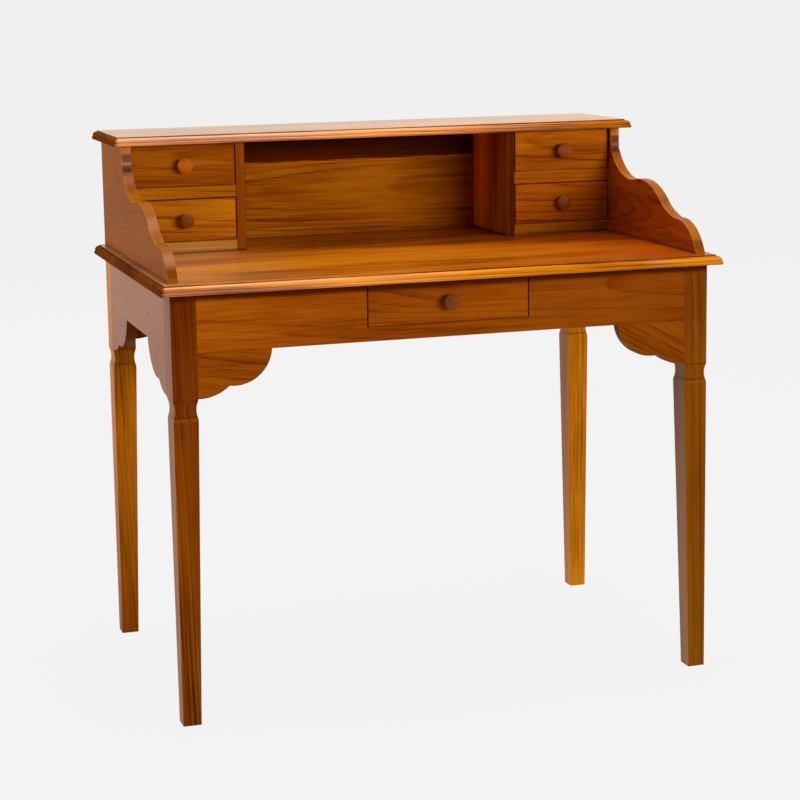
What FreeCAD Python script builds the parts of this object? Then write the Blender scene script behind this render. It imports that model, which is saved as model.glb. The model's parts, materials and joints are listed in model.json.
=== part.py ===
"""Writing desk with a drawer gallery: every board, leg, drawer piece and knob as its own solid.

Millimetres, +Z up, front towards -Y. The origin is on the floor under the middle of the desktop.
"""
import FreeCAD, Part
import math
import os
import re
import Sketcher

# Driving sizes, one cell each
SIZES = {
    # Whole desk and desktop board
    "desk_width": 1000,
    "desk_depth": 624,
    "total_height": 965,
    "gallery_height": 215,
    "desktop_thickness": 17,
    "side_overhang": 20,
    "front_overhang": 24,
    "back_overhang": 6,
    # Moulded edge of the desktop and the gallery top
    "mould_run": 10,
    "mould_step": 2,
    "mould_swell": 2.2,
    "bead_height": 5,
    "bead_lip": 1.5,
    "bead_swell": 0.8,
    # Legs
    "leg_size": 43,
    "leg_depth": 48,
    "foot_size": 31.5,
    "post_length": 177.5,
    "neck_length": 27.5,
    "neck_depth": 2.1,
    "shoulder_length": 10,
    "shoulder_depth": 1.6,
    "shoulder_swell": 0.5,
    # Aprons, their tenons and the scrolled brackets under them
    "apron_height": 98.5,
    "apron_thickness": 20,
    "tenon_length": 20,
    "tenon_thickness": 8,
    "tenon_height": 70,
    "tenon_setback": 6,
    "tenon_drop": 14,
    "bracket_drop": 77,
    "back_bracket_drop": 64,
    "front_bracket_length": 127,
    "side_bracket_length": 152,
    "lobe_swell": 20.5,
    "toe_swell": 5.5,
    "cusp_run_share": 0.42,
    "cusp_drop_share": 0.755,
    "bracket_stub_share": 0.4,
    # Gallery
    "gallery_depth": 205,
    "gallery_foot_length": 586,
    "gallery_side_thickness": 18,
    "gallery_top_thickness": 16,
    "gallery_top_side_overhang": 17,
    "gallery_top_front_overhang": 20,
    "scroll_height_share": 0.814,
    "hollow_run_share": 0.277,
    "hollow_rise_share": 0.67,
    "hump_run_share": 0.61,
    "hump_rise_share": 0.475,
    "cove_run_share": 0.763,
    "cove_rise_share": 0.34,
    "hollow_sink": 17,
    "hump_swell": 15.5,
    "cove_sink": 3.5,
    "nose_swell": 17,
    "back_board_thickness": 12,
    "lower_back_share": 0.68,
    "back_lap": 6,
    "back_rabbet": 8,
    "divider_thickness": 17,
    "pigeonhole_width": 506,
    "drawer_setback": 10,
    "base_rail_height": 20.8,
    "mid_rail_height": 22.3,
    "rail_depth": 24,
    "rail_tenon_length": 6,
    "rail_tenon_setback": 8,
    "rail_tenon_inset": 5,
    "runner_width": 20,
    # Stub tenons that hold the gallery and the brackets
    "stub_thickness": 8,
    "stub_length": 40,
    "stub_height": 10,
    "stub_front_share": 0.25,
    "stub_back_share": 0.75,
    # Drawers
    "notch_width": 290,
    "notch_rail_height": 24.3,
    "centre_drawer_length": 450,
    "drawer_tail_gap": 3,
    "drawer_gap": 1.4,
    "drawer_lift": 0.4,
    "drawer_front_thickness": 18,
    "drawer_side_thickness": 10,
    "drawer_side_drop": 6,
    "drawer_lap": 9,
    "drawer_bottom_thickness": 5,
    "drawer_bottom_rise": 7,
    "drawer_groove_depth": 5,
    # Runners and stops of the centre drawer
    "ledge_width": 12,
    "guide_width": 14,
    "guide_height": 18,
    "ledge_height": 20,
    "stop_length": 16,
    "stop_height": 12,
    # Turned knobs
    "knob_radius": 13,
    "knob_neck_radius": 7,
    "knob_face_radius": 10,
    "knob_projection": 20,
    "knob_head_back": 10,
    "knob_rim_front": 16.5,
    "knob_tenon_radius": 4.5,
    "knob_tenon_length": 14,
    # Glue blocks under the desktop
    "glue_block_size": 18,
    "glue_block_length": 50,
    "glue_block_x_share": 0.68,
    "glue_block_y_share": 0.45,
    # Room left in joints, and the overrun of cutting shapes
    "fit_gap": 0.1,
    "overrun": 5,
}

# Places worked out from the driving sizes
PLACES = {
    # Outer faces of the legs, and the faces of the legs towards the aprons
    "leg_x": "desk_width/2 - side_overhang",
    "leg_front": "front_overhang - desk_depth/2",
    "leg_back": "desk_depth/2 - back_overhang",
    "leg_mid": "(leg_front + leg_back)/2",
    "leg_half": "(leg_back - leg_front)/2",
    "post_x": "leg_x - leg_size",
    "post_half": "leg_half - leg_depth",
    # The desktop's upper face, and heights below it
    "desk_height": "total_height - gallery_height",
    "under": "desk_height - desktop_thickness",
    "apron_low": "under - apron_height",
    "neck_top": "under - post_length",
    "neck_low": "neck_top - neck_length",
    "notch_low": "apron_low + notch_rail_height",
    # Gallery
    "side_in": "leg_x - gallery_side_thickness",
    "divider_in": "pigeonhole_width/2",
    "divider_out": "divider_in + divider_thickness",
    "gallery_front": "leg_back - gallery_depth",
    "gallery_foot": "leg_back - gallery_foot_length",
    "gallery_under": "total_height - gallery_top_thickness",
    "gallery_inside": "gallery_height - gallery_top_thickness",
    "scroll_run": "gallery_foot_length - gallery_depth",
    "scroll_height": "gallery_inside*scroll_height_share",
    "lower_back_height": "gallery_inside*lower_back_share",
    "unit_front": "gallery_front + drawer_setback",
    "back_face": "leg_back - back_board_thickness",
    "drawer_opening": "(gallery_inside - base_rail_height - mid_rail_height)/2",
    "lower_low": "desk_height + base_rail_height",
    "lower_high": "lower_low + drawer_opening",
    "upper_low": "lower_high + mid_rail_height",
    "small_drawer_length": "back_face - unit_front - drawer_tail_gap",
}

doc = FreeCAD.newDocument("writing_desk")
sheet = doc.addObject("Spreadsheet::Sheet", "sizes")
for row, (alias, number) in enumerate(SIZES.items(), start=1):
    sheet.set(f"A{row}", alias)
    sheet.set(f"B{row}", str(number))
    sheet.setAlias(f"B{row}", alias)
doc.recompute()

NODES = {}


def full(text):
    """Spell an expression out: places become sums, sizes become cells of the sheet."""
    def spell(match):
        word = match.group(0)
        if word in PLACES:
            return f"({full(PLACES[word])})"
        return f"sizes.{word}" if word in SIZES else word
    return re.sub(r"[a-z_]+", spell, text)


def value(text):
    """The number that an expression gives now."""
    return float(sheet.evalExpression(full(text)))


def bind(thing, **expressions):
    """Tie properties to expressions; a double underscore in a name stands for a dot."""
    for path, text in expressions.items():
        thing.setExpression(path.replace("__", "."), full(text))


def node(label, thing):
    """Keep an object as a sub-part under its own name."""
    thing.Label = label
    NODES[label] = thing
    return thing


# Blocks, pegs and booleans

def block(name, low, size, grow="0"):
    """A box from its low corner and its size, with room added all round where it cuts a seat."""
    box = doc.addObject("Part::Box", name)
    for axis, corner in zip("xyz", low):
        bind(box, **{f"Placement__Base__{axis}": f"{corner} - ({grow})"})
    for side, length in zip(("Length", "Width", "Height"), size):
        bind(box, **{side: f"{length} + 2*({grow})"})
    return box


def peg(name, low, radius, height):
    """A round pin lying along Y, from its near end."""
    pin = doc.addObject("Part::Cylinder", name)
    pin.Placement.Rotation = FreeCAD.Rotation(FreeCAD.Vector(1, 0, 0), -90)
    for axis, corner in zip("xyz", low):
        bind(pin, **{f"Placement__Base__{axis}": corner})
    bind(pin, Radius=radius, Height=height)
    return pin


def join(name, pieces):
    """One solid from pieces that meet."""
    fusion = doc.addObject("Part::MultiFuse", name)
    fusion.Shapes = pieces
    fusion.Refine = True
    return fusion


def cut(name, base, tools):
    """A solid with seats, grooves and holes taken out, which has to become smaller."""
    result = doc.addObject("Part::Cut", name)
    result.Base = base
    result.Tool = tools[0] if len(tools) == 1 else join(f"{name}_tools", tools)
    doc.recompute()
    if result.Shape.Volume >= base.Shape.Volume:
        raise RuntimeError(f"{name}: nothing was cut")
    return result


def group(label, pieces):
    """Several separate solids of one kind in one node."""
    bunch = doc.addObject("Part::Compound", label)
    bunch.Links = pieces
    return node(label, bunch)


def mirror(name, source, normal, middle="0"):
    """The mirror image of a piece across X = 0 or across the middle of the legs."""
    image = doc.addObject("Part::Mirroring", name)
    image.Source = source
    image.Normal = FreeCAD.Vector(*normal)
    bind(image, Base__y=middle)
    return image


def mirrored(label, source, normal, middle="0"):
    """A mirror image that is a sub-part of its own."""
    return node(label, mirror(label, source, normal, middle))


ACROSS_X = (1, 0, 0)
ACROSS_Y = (0, 1, 0)


# Sketches, pads and pockets

def sketch_on(body, role, name, offset="0"):
    """An empty sketch on one of the body's own planes, moved along the plane's normal."""
    plane = next(item for item in body.Origin.OriginFeatures if item.Role == role)
    sketch = body.newObject("Sketcher::SketchObject", name)
    sketch.AttachmentSupport = [(plane, "")]
    sketch.MapMode = "FlatFace"
    bind(sketch, AttachmentOffset__Base__z=offset)
    return sketch


def outline(sketch, corners):
    """A closed outline, run anticlockwise, with each corner tied to its own expressions.

    A corner is (across, up) before a straight edge and (across, up, rise) before an arc,
    whose rise above its chord is positive where it swells outwards and negative where it is hollow.
    """
    points = [FreeCAD.Vector(value(corner[0]), value(corner[1]), 0) for corner in corners]
    edges = []
    for index, corner in enumerate(corners):
        start, end = points[index], points[(index + 1) % len(points)]
        if len(corner) == 2:
            edges.append((sketch.addGeometry(Part.LineSegment(start, end)), 1, 2))
            continue
        rise = value(corner[2])
        chord = end - start
        outward = FreeCAD.Vector(chord.y, -chord.x, 0).normalize()
        middle = (start + end)*0.5 + outward*rise
        if rise > 0:
            edges.append((sketch.addGeometry(Part.Arc(start, middle, end)), 1, 2))
        else:
            edges.append((sketch.addGeometry(Part.Arc(end, middle, start)), 2, 1))
    for index, (edge, first, _) in enumerate(edges):
        before, _, last = edges[index - 1]
        sketch.addConstraint(Sketcher.Constraint("Coincident", before, last, edge, first))
        corner = corners[index]
        for kind, text in zip(("DistanceX", "DistanceY"), corner):
            place = sketch.addConstraint(Sketcher.Constraint(kind, -1, 1, edge, first, value(text)))
            sketch.setExpression(f"Constraints[{place}]", full(text))
        if len(corner) == 3:
            after = corners[(index + 1) % len(corners)]
            across = f"({after[0]}) - ({corner[0]})"
            up = f"({after[1]}) - ({corner[1]})"
            rise = f"abs({corner[2]})"
            radius = f"((({across})^2 + ({up})^2)/4 + {rise}^2)/(2*{rise})"
            size = sketch.addConstraint(Sketcher.Constraint("Radius", edge, value(radius)))
            sketch.setExpression(f"Constraints[{size}]", full(radius))


def rectangle(sketch, left, low, right, high):
    """Four straight edges."""
    outline(sketch, [(left, low), (right, low), (right, high), (left, high)])


def pad(body, sketch, length, turned=False):
    """Thicken a sketch along its normal, or against it when turned."""
    feature = body.newObject("PartDesign::Pad", f"{sketch.Name}_pad")
    feature.Profile = sketch
    feature.Reversed = turned
    bind(feature, Length=length)
    sketch.Visibility = False
    doc.recompute()
    return feature


def pocket_through(body, sketch):
    """Cut a sketch through the whole body, both ways, which has to take wood away."""
    before = body.Shape.Volume
    feature = body.newObject("PartDesign::Pocket", f"{sketch.Name}_pocket")
    feature.Profile = sketch
    feature.Type = "ThroughAll"
    feature.Midplane = True
    doc.recompute()
    if body.Shape.Volume >= before:
        raise RuntimeError(f"{sketch.Name}: nothing was cut")
    return feature


def new_body(name):
    """An empty body for one board, leg or knob."""
    return doc.addObject("PartDesign::Body", name)


# Legs

def neck_cut(body, role, name, low, high):
    """Hollow the neck on two opposite faces, with a rounded shoulder below it."""
    sketch = sketch_on(body, role, name)
    for face, way, turn in ((low, "", 1), (high, "-", -1)):
        edge = [
            (f"({face}) - {way}overrun", "neck_low - shoulder_length"),
            (f"({face})", "neck_low - shoulder_length"),
            (f"({face}) + {way}shoulder_depth", "neck_low"),
            (f"({face})", "neck_top"),
            (f"({face}) - {way}overrun", "neck_top"),
        ]
        rises = ["", "-shoulder_swell", "neck_depth", "", ""]
        if turn < 0:
            edge = edge[::-1]
            rises = ["", "neck_depth", "-shoulder_swell", "", ""]
        outline(sketch, [(*spot, rise) if rise else spot for spot, rise in zip(edge, rises)])
    pocket_through(body, sketch)


def leg():
    """The front left leg: nearly square post, hollowed neck, and a foot tapered on its two inner faces."""
    body = new_body("leg")
    left, right = "-leg_x", "leg_size - leg_x"
    near, far = "leg_front", "leg_front + leg_depth"
    post = sketch_on(body, "XY_Plane", "leg_post", "neck_low")
    rectangle(post, left, near, right, far)
    pad(body, post, "under - neck_low")
    foot = sketch_on(body, "XY_Plane", "leg_foot")
    rectangle(foot, left, near, "foot_size - leg_x", "leg_front + foot_size")
    knee = sketch_on(body, "XY_Plane", "leg_knee", "neck_low")
    rectangle(knee, left, near, right, far)
    taper = body.newObject("PartDesign::AdditiveLoft", "leg_taper")
    taper.Profile = foot
    taper.Sections = [knee]
    taper.Ruled = True
    doc.recompute()
    neck_cut(body, "XZ_Plane", "leg_neck_across", left, right)
    neck_cut(body, "YZ_Plane", "leg_neck_along", near, far)
    return body


def front_tenon(name, post, start, grow="0"):
    """A tenon of the front apron, from its shoulder into a post."""
    low = (start, "leg_front + tenon_setback", "under - tenon_drop - tenon_height")
    return block(f"{name}_{post}", low, ("tenon_length", "tenon_thickness", "tenon_height"), grow)


def side_tenon(name, post, start, grow="0"):
    """A tenon of the left apron, from its shoulder into a post."""
    low = ("tenon_setback - leg_x", start, "under - tenon_drop - tenon_height")
    return block(f"{name}_{post}", low, ("tenon_thickness", "tenon_length", "tenon_height"), grow)


def legs():
    """Four legs, mirrored from one that is mortised for both of its aprons."""
    mortises = [
        front_tenon("mortise", "across", "-post_x - tenon_length", "fit_gap"),
        side_tenon("mortise", "along", "leg_mid - post_half - tenon_length", "fit_gap"),
    ]
    front_left = node("leg_front_left", cut("leg_front_left", leg(), mortises))
    mirrored("leg_front_right", front_left, ACROSS_X)
    back_left = mirrored("leg_back_left", front_left, ACROSS_Y, "leg_mid")
    mirrored("leg_back_right", back_left, ACROSS_X)


# Aprons and the brackets under their ends

def front_stub(name, hand, grow="0"):
    """The stub tenon that holds a bracket under the front apron."""
    middle = f"{hand}(post_x - front_bracket_length*bracket_stub_share)"
    low = (f"{middle} - stub_length/2", "leg_front + tenon_setback", "apron_low")
    title = f"{name}_{'left' if hand else 'right'}"
    return block(title, low, ("stub_length", "tenon_thickness", "stub_height"), grow)


def side_stub(name, way, grow="0"):
    """The stub tenon that holds a bracket under the left apron."""
    middle = f"leg_mid {way} (post_half - side_bracket_length*bracket_stub_share)"
    low = ("tenon_setback - leg_x", f"{middle} - stub_length/2", "apron_low")
    title = f"{name}_{'front' if way == '-' else 'back'}"
    return block(title, low, ("tenon_thickness", "stub_length", "stub_height"), grow)


def aprons():
    """Front apron notched for its drawer, plain back apron, and two side aprons."""
    board = block(
        "long_board", ("-post_x", "leg_front", "apron_low"), ("2*post_x", "apron_thickness", "apron_height"))
    tenons = [
        front_tenon("long_tenon", "left", "-post_x - tenon_length"),
        front_tenon("long_tenon", "right", "post_x"),
    ]
    mortises = [front_stub("long_mortise", hand, "fit_gap") for hand in ("-", "")]
    plain = cut("long_apron", join("long_tenoned", [board] + tenons), mortises)
    low = ("-notch_width/2", "leg_front - overrun", "notch_low")
    size = ("notch_width", "apron_thickness + 2*overrun", "under - notch_low + overrun")
    node("front_apron", cut("front_apron", plain, [block("drawer_notch", low, size)]))
    mirrored("back_apron", plain, ACROSS_Y, "leg_mid")

    board = block(
        "side_board", ("-leg_x", "leg_mid - post_half", "apron_low"),
        ("apron_thickness", "2*post_half", "apron_height"))
    tenons = [
        side_tenon("side_tenon", "front", "leg_mid - post_half - tenon_length"),
        side_tenon("side_tenon", "back", "leg_mid + post_half"),
    ]
    mortises = [side_stub("side_mortise", way, "fit_gap") for way in ("-", "+")]
    left = node("left_apron", cut("left_apron", join("side_tenoned", [board] + tenons), mortises))
    mirrored("right_apron", left, ACROSS_X)


def bracket_board(name, role, offset, start, length, drop, turned):
    """A scrolled board that starts at a leg: a small toe, a cusp and a round lobe up to the apron."""
    body = new_body(name)
    shape = sketch_on(body, role, f"{name}_outline", offset)
    outline(shape, [
        (start, "apron_low"),
        (start, f"apron_low - {drop}", "toe_swell"),
        (f"{start} + {length}*cusp_run_share", f"apron_low - {drop}*cusp_drop_share", "lobe_swell"),
        (f"{start} + {length}", "apron_low"),
    ])
    pad(body, shape, "apron_thickness", turned)
    return body


def brackets():
    """A pair of brackets under the ends of each apron, each let into it with a stub tenon; those behind hang less."""
    board = bracket_board(
        "long_bracket", "XZ_Plane", "-leg_front", "-post_x", "front_bracket_length", "bracket_drop", turned=True)
    left = join("front_bracket_left", [board, front_stub("bracket_stub", "-")])
    group("front_brackets", [left, mirror("front_bracket_right", left, ACROSS_X)])
    board = bracket_board(
        "low_bracket", "XZ_Plane", "-leg_front", "-post_x", "front_bracket_length", "back_bracket_drop", turned=True)
    left = mirror(
        "back_bracket_left", join("low_bracket_left", [board, front_stub("low_bracket_stub", "-")]),
        ACROSS_Y, "leg_mid")
    group("back_brackets", [left, mirror("back_bracket_right", left, ACROSS_X)])
    board = bracket_board(
        "side_bracket", "YZ_Plane", "-leg_x", "leg_mid - post_half", "side_bracket_length", "bracket_drop",
        turned=False)
    near = join("left_bracket_front", [board, side_stub("bracket_stub", "-")])
    pair = group("left_brackets", [near, mirror("left_bracket_back", near, ACROSS_Y, "leg_mid")])
    mirrored("right_brackets", pair, ACROSS_X)


# Moulded boards

def mould_corners(edge, top, low, way):
    """The waste outside a moulded edge: a step, an ovolo, a line and a rounded bead."""
    bead = f"{low} + bead_height"
    return [
        (f"{edge} - {way}mould_run", f"{top} + overrun"),
        (f"{edge} - {way}mould_run", f"{top} - mould_step", "-mould_swell"),
        (f"{edge} - {way}bead_lip", bead),
        (edge, bead, "-bead_swell"),
        (edge, low),
        (f"{edge} + {way}overrun", low),
        (f"{edge} + {way}overrun", f"{top} + overrun"),
    ]


def against(corners):
    """The same outline run the other way round, with each rise kept on its own edge."""
    turned = []
    for index, corner in enumerate(corners):
        rise = corners[index - 1][2:]
        turned.append((*corner[:2], *rise))
    return turned[::-1]


def moulded_board(name, right, near, far, top, thickness):
    """A board with its front and side edges moulded and its back edge square."""
    body = new_body(name)
    low = f"{top} - {thickness}"
    face = sketch_on(body, "XY_Plane", f"{name}_face", low)
    rectangle(face, f"-({right})", near, right, far)
    pad(body, face, thickness)
    ends = sketch_on(body, "XZ_Plane", f"{name}_ends")
    outline(ends, mould_corners(right, top, low, ""))
    outline(ends, against(mould_corners(f"-({right})", top, low, "-")))
    pocket_through(body, ends)
    front = sketch_on(body, "YZ_Plane", f"{name}_front")
    outline(front, against(mould_corners(near, top, low, "-")))
    pocket_through(body, front)
    return body


# Gallery

def stub_spots():
    """Places of the stub tenons: along the sides and dividers, at the desktop and at the gallery top."""
    rows = (
        ("side_foot", "leg_x - gallery_side_thickness/2", "gallery_foot", "gallery_foot_length"),
        ("side_head", "leg_x - gallery_side_thickness/2", "gallery_front", "gallery_depth"),
        ("divider_foot", "divider_in + divider_thickness/2", "unit_front", "back_face - unit_front"),
        ("divider_head", "divider_in + divider_thickness/2", "unit_front", "back_face - unit_front"),
    )
    for row, x, start, length in rows:
        z = "gallery_under" if row.endswith("head") else "desk_height - stub_height"
        for end in ("front", "back"):
            yield f"{row}_{end}", x, f"{start} + ({length})*stub_{end}_share", z


def stubs(name, wanted, hands=("-",), grow="0"):
    """Stub tenons of one kind on the left, or the mortises for them on the given hands."""
    size = ("stub_thickness", "stub_length", "stub_height")
    bars = []
    for spot, x, y, z in stub_spots():
        if wanted not in spot:
            continue
        for hand in hands:
            low = (f"{hand}({x}) - stub_thickness/2", f"{y} - stub_length/2", z)
            bars.append(block(f"{name}_{spot}_{'left' if hand else 'right'}", low, size, grow))
    return bars


def stub_mortises(name, wanted):
    """Mortises on both hands, a little larger than the stub tenons."""
    return stubs(name, wanted, ("-", ""), "fit_gap")


def rail_tenons(name, grow="0"):
    """The stub tenons of the left rails, as one long bar for each rail."""
    bars = {}
    for level, low, height in rail_levels():
        corner = ("-side_in - rail_tenon_length", "unit_front + rail_tenon_setback", f"{low} + rail_tenon_inset")
        size = (
            "side_in - divider_out + 2*rail_tenon_length",
            "rail_depth - rail_tenon_setback",
            f"{height} - 2*rail_tenon_inset",
        )
        bars[level] = block(f"{name}_{level}", corner, size, grow)
    return bars


def rail_levels():
    """Name, lower face and height of the two rails of a drawer stack."""
    return (("base", "desk_height", "base_rail_height"), ("mid", "lower_high", "mid_rail_height"))


def gallery_side():
    """The left gallery side: a board cut to a scroll that sweeps forward and down to the desktop."""
    body = new_body("gallery_side")
    board = sketch_on(body, "YZ_Plane", "gallery_side_outline", "-leg_x")

    def on_scroll(run_share, rise_share):
        return (f"gallery_front - scroll_run*{run_share}", f"desk_height + scroll_height*{rise_share}")

    outline(board, [
        ("leg_back", "gallery_under"),
        ("gallery_front", "gallery_under"),
        ("gallery_front", "desk_height + scroll_height", "-hollow_sink"),
        (*on_scroll("hollow_run_share", "hollow_rise_share"), "hump_swell"),
        (*on_scroll("hump_run_share", "hump_rise_share"), "-cove_sink"),
        (*on_scroll("cove_run_share", "cove_rise_share"), "nose_swell"),
        ("gallery_foot", "desk_height"),
        ("leg_back", "desk_height"),
    ])
    pad(body, board, "gallery_side_thickness")
    return body


def back_board(name, low, height, lap_low, grow="0"):
    """A back board with a half-thickness lap along one long edge."""
    half = "back_board_thickness/2"
    length = "2*(side_in + back_rabbet)"
    corner = ("-side_in - back_rabbet", "back_face", low)
    board = block(f"{name}_board", corner, (length, "back_board_thickness", height), grow)
    lap = block(f"{name}_lap", ("-side_in - back_rabbet", *lap_low), (length, half, "back_lap"), grow)
    return board, lap


def gallery():
    """Scrolled sides, moulded top, two lapped back boards and two dividers."""
    rabbet = block(
        "side_rabbet",
        ("-side_in - back_rabbet - fit_gap", "back_face", "desk_height - overrun"),
        ("back_rabbet + fit_gap + overrun", "back_board_thickness + overrun", "gallery_inside + 2*overrun"),
    )
    side = join("gallery_side_stubbed", [gallery_side()] + stubs("side_stub", "side"))
    side_mortises = list(rail_tenons("side_mortise", "fit_gap").values())
    left = node("left_gallery_side", cut("left_gallery_side", side, [rabbet] + side_mortises))
    mirrored("right_gallery_side", left, ACROSS_X)

    board = block(
        "divider_board",
        ("-divider_out", "unit_front", "desk_height"),
        ("divider_thickness", "back_face - unit_front", "gallery_inside"),
    )
    divider = join("divider_stubbed", [board] + stubs("divider_stub", "divider"))
    divider_mortises = list(rail_tenons("divider_mortise", "fit_gap").values())
    left = node("left_divider", cut("left_divider", divider, divider_mortises))
    mirrored("right_divider", left, ACROSS_X)

    seam = "desk_height + lower_back_height"
    board, lap = back_board("lower_back", "desk_height", "lower_back_height", ("back_face", seam))
    node("lower_back_board", join("lower_back_board", [board, lap]))
    upper_height = "gallery_inside - lower_back_height"
    board, lap = back_board("upper_back", seam, upper_height, ("back_face", seam))
    node("upper_back_board", cut("upper_back_board", board, [lap]))

    top = moulded_board(
        "gallery_top_board", "leg_x + gallery_top_side_overhang", "gallery_front - gallery_top_front_overhang",
        "leg_back", "total_height", "gallery_top_thickness")
    node("gallery_top", cut("gallery_top", top, stub_mortises("top_mortise", "head")))


def desktop():
    """The desktop board, mortised for the stub tenons of the gallery."""
    board = moulded_board(
        "desktop_board", "desk_width/2", "-desk_depth/2", "desk_depth/2", "desk_height", "desktop_thickness")
    node("desktop", cut("desktop", board, stub_mortises("desktop_mortise", "foot")))


def stack_rails():
    """Rails and runners that carry the four small drawers."""
    width = "side_in - divider_out"
    tenons = rail_tenons("rail_tenon")
    runners = []
    for level, low, height in rail_levels():
        board = block(f"{level}_rail_board", ("-side_in", "unit_front", low), (width, "rail_depth", height))
        left = node(f"left_{level}_rail", join(f"left_{level}_rail", [board, tenons[level]]))
        mirrored(f"right_{level}_rail", left, ACROSS_X)
        length = "back_face - unit_front - rail_depth"
        for hand, x in (("outer", "-side_in"), ("inner", "-divider_out - runner_width")):
            corner = (x, "unit_front + rail_depth", low)
            runners.append(block(f"{level}_runner_{hand}", corner, ("runner_width", length, height)))
    left = group("left_drawer_runners", runners)
    mirrored("right_drawer_runners", left, ACROSS_X)


# Parts below the desktop

def centre_runners():
    """Two runners of L section between the long aprons, each with a stop behind the drawer."""
    body = new_body("centre_runner")
    section = sketch_on(body, "XZ_Plane", "centre_runner_section", "-leg_front - apron_thickness")
    inner, wall, outer = "notch_width/2 - ledge_width", "notch_width/2", "notch_width/2 + guide_width"
    outline(section, [
        (f"-({outer})", "notch_low - ledge_height"),
        (f"-({inner})", "notch_low - ledge_height"),
        (f"-({inner})", "notch_low"),
        (f"-({wall})", "notch_low"),
        (f"-({wall})", "notch_low + guide_height"),
        (f"-({outer})", "notch_low + guide_height"),
    ])
    pad(body, section, "2*leg_half - 2*apron_thickness", turned=True)
    stop = block(
        "centre_stop",
        ("-notch_width/2", "leg_front + centre_drawer_length + drawer_gap", "notch_low"),
        ("ledge_width", "stop_length", "stop_height"),
    )
    for label, left in (("centre_drawer_runners", body), ("centre_drawer_stops", stop)):
        group(label, [left, mirror(f"{label}_right", left, ACROSS_X)])


def glue_blocks():
    """Blocks glued into the corners between the aprons and the desktop."""
    low = "under - glue_block_size"
    half = "glue_block_length/2"
    along_x = ("glue_block_length", "glue_block_size", "glue_block_size")
    along_y = ("glue_block_size", "glue_block_length", "glue_block_size")
    blocks = []
    for hand, side in (("-", "left"), ("", "right")):
        x = f"{hand}post_x*glue_block_x_share - {half}"
        blocks.append(block(f"glue_front_{side}", (x, "leg_front + apron_thickness", low), along_x))
        back = "leg_back - apron_thickness - glue_block_size"
        blocks.append(block(f"glue_back_{side}", (x, back, low), along_x))
        x = "apron_thickness - leg_x" if hand else "leg_x - apron_thickness - glue_block_size"
        for way, end in (("-", "front"), ("+", "back")):
            y = f"leg_mid {way} post_half*glue_block_y_share - {half}"
            blocks.append(block(f"glue_{side}_{end}", (x, y, low), along_y))
    group("desktop_glue_blocks", blocks)


# Drawers

def knob(name, x, y, z):
    """A turned mushroom knob: round tenon, neck, and a head with a rim and a bevelled face."""
    body = new_body(name)
    profile = sketch_on(body, "YZ_Plane", f"{name}_profile", x)
    bind(profile, AttachmentOffset__Base__x=y, AttachmentOffset__Base__y=z)
    outline(profile, [
        ("-knob_projection", "0"),
        ("knob_tenon_length", "0"),
        ("knob_tenon_length", "knob_tenon_radius"),
        ("0", "knob_tenon_radius"),
        ("0", "knob_neck_radius"),
        ("-knob_head_back", "knob_neck_radius"),
        ("-knob_head_back", "knob_radius"),
        ("-knob_rim_front", "knob_radius"),
        ("-knob_projection", "knob_face_radius"),
    ])
    turning = body.newObject("PartDesign::Revolution", f"{name}_turning")
    turning.Profile = profile
    turning.ReferenceAxis = (profile, ["H_Axis"])
    turning.Angle = 360
    node(name, body)


def drawer(name, left, right, low, high, front, length):
    """One drawer in its opening: lapped front, two grooved sides, back, loose bottom and knob."""
    x0, x1 = f"{left} + drawer_gap", f"{right} - drawer_gap"
    z0, z1 = f"{low} + drawer_lift", f"{high} - drawer_gap"
    width = f"({x1}) - ({x0})"
    tail = f"{front} + {length}"
    side_start = f"{front} + drawer_front_thickness - drawer_lap"
    side_size = (
        "drawer_side_thickness", f"({tail}) - ({side_start})", f"({z1}) - ({z0}) - drawer_side_drop")
    panel_low = (
        f"{x0} + drawer_side_thickness - drawer_groove_depth",
        f"{front} + drawer_front_thickness - drawer_groove_depth",
        f"{z0} + drawer_bottom_rise",
    )
    panel_size = (
        f"{width} - 2*(drawer_side_thickness - drawer_groove_depth)",
        f"{length} - drawer_front_thickness + drawer_groove_depth",
        "drawer_bottom_thickness",
    )
    middle_x, middle_z = f"(({x0}) + ({x1}))/2", f"(({z0}) + ({z1}))/2"

    def groove(piece):
        return block(f"{name}_{piece}_groove", panel_low, panel_size, "fit_gap")

    board = block(f"{name}_front_board", (x0, front, z0), (width, "drawer_front_thickness", f"({z1}) - ({z0})"))
    lap_size = ("drawer_side_thickness + overrun", "drawer_lap + overrun", f"({z1}) - ({z0}) + 2*overrun")
    lap_low = f"{z0} - overrun"
    seats = [
        block(f"{name}_left_lap", (f"{x0} - overrun", side_start, lap_low), lap_size),
        block(f"{name}_right_lap", (f"{x1} - drawer_side_thickness", side_start, lap_low), lap_size),
        groove("front"),
        peg(f"{name}_knob_hole", (middle_x, front, middle_z), "knob_tenon_radius + fit_gap",
            "knob_tenon_length + fit_gap"),
    ]
    node(f"{name}_front", cut(f"{name}_front", board, seats))

    for hand, x in (("left", x0), ("right", f"{x1} - drawer_side_thickness")):
        side = block(f"{name}_{hand}_board", (x, side_start, z0), side_size)
        node(f"{name}_{hand}_side", cut(f"{name}_{hand}_side", side, [groove(hand)]))

    floor = f"{z0} + drawer_bottom_rise + drawer_bottom_thickness"
    back = block(
        f"{name}_back",
        (f"{x0} + drawer_side_thickness", f"{tail} - drawer_side_thickness", floor),
        (f"{width} - 2*drawer_side_thickness", "drawer_side_thickness",
         f"({z1}) - drawer_side_drop - ({floor})"),
    )
    node(f"{name}_back", back)
    node(f"{name}_bottom", block(f"{name}_bottom", panel_low, panel_size))
    knob(f"{name}_knob", middle_x, front, middle_z)


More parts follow.
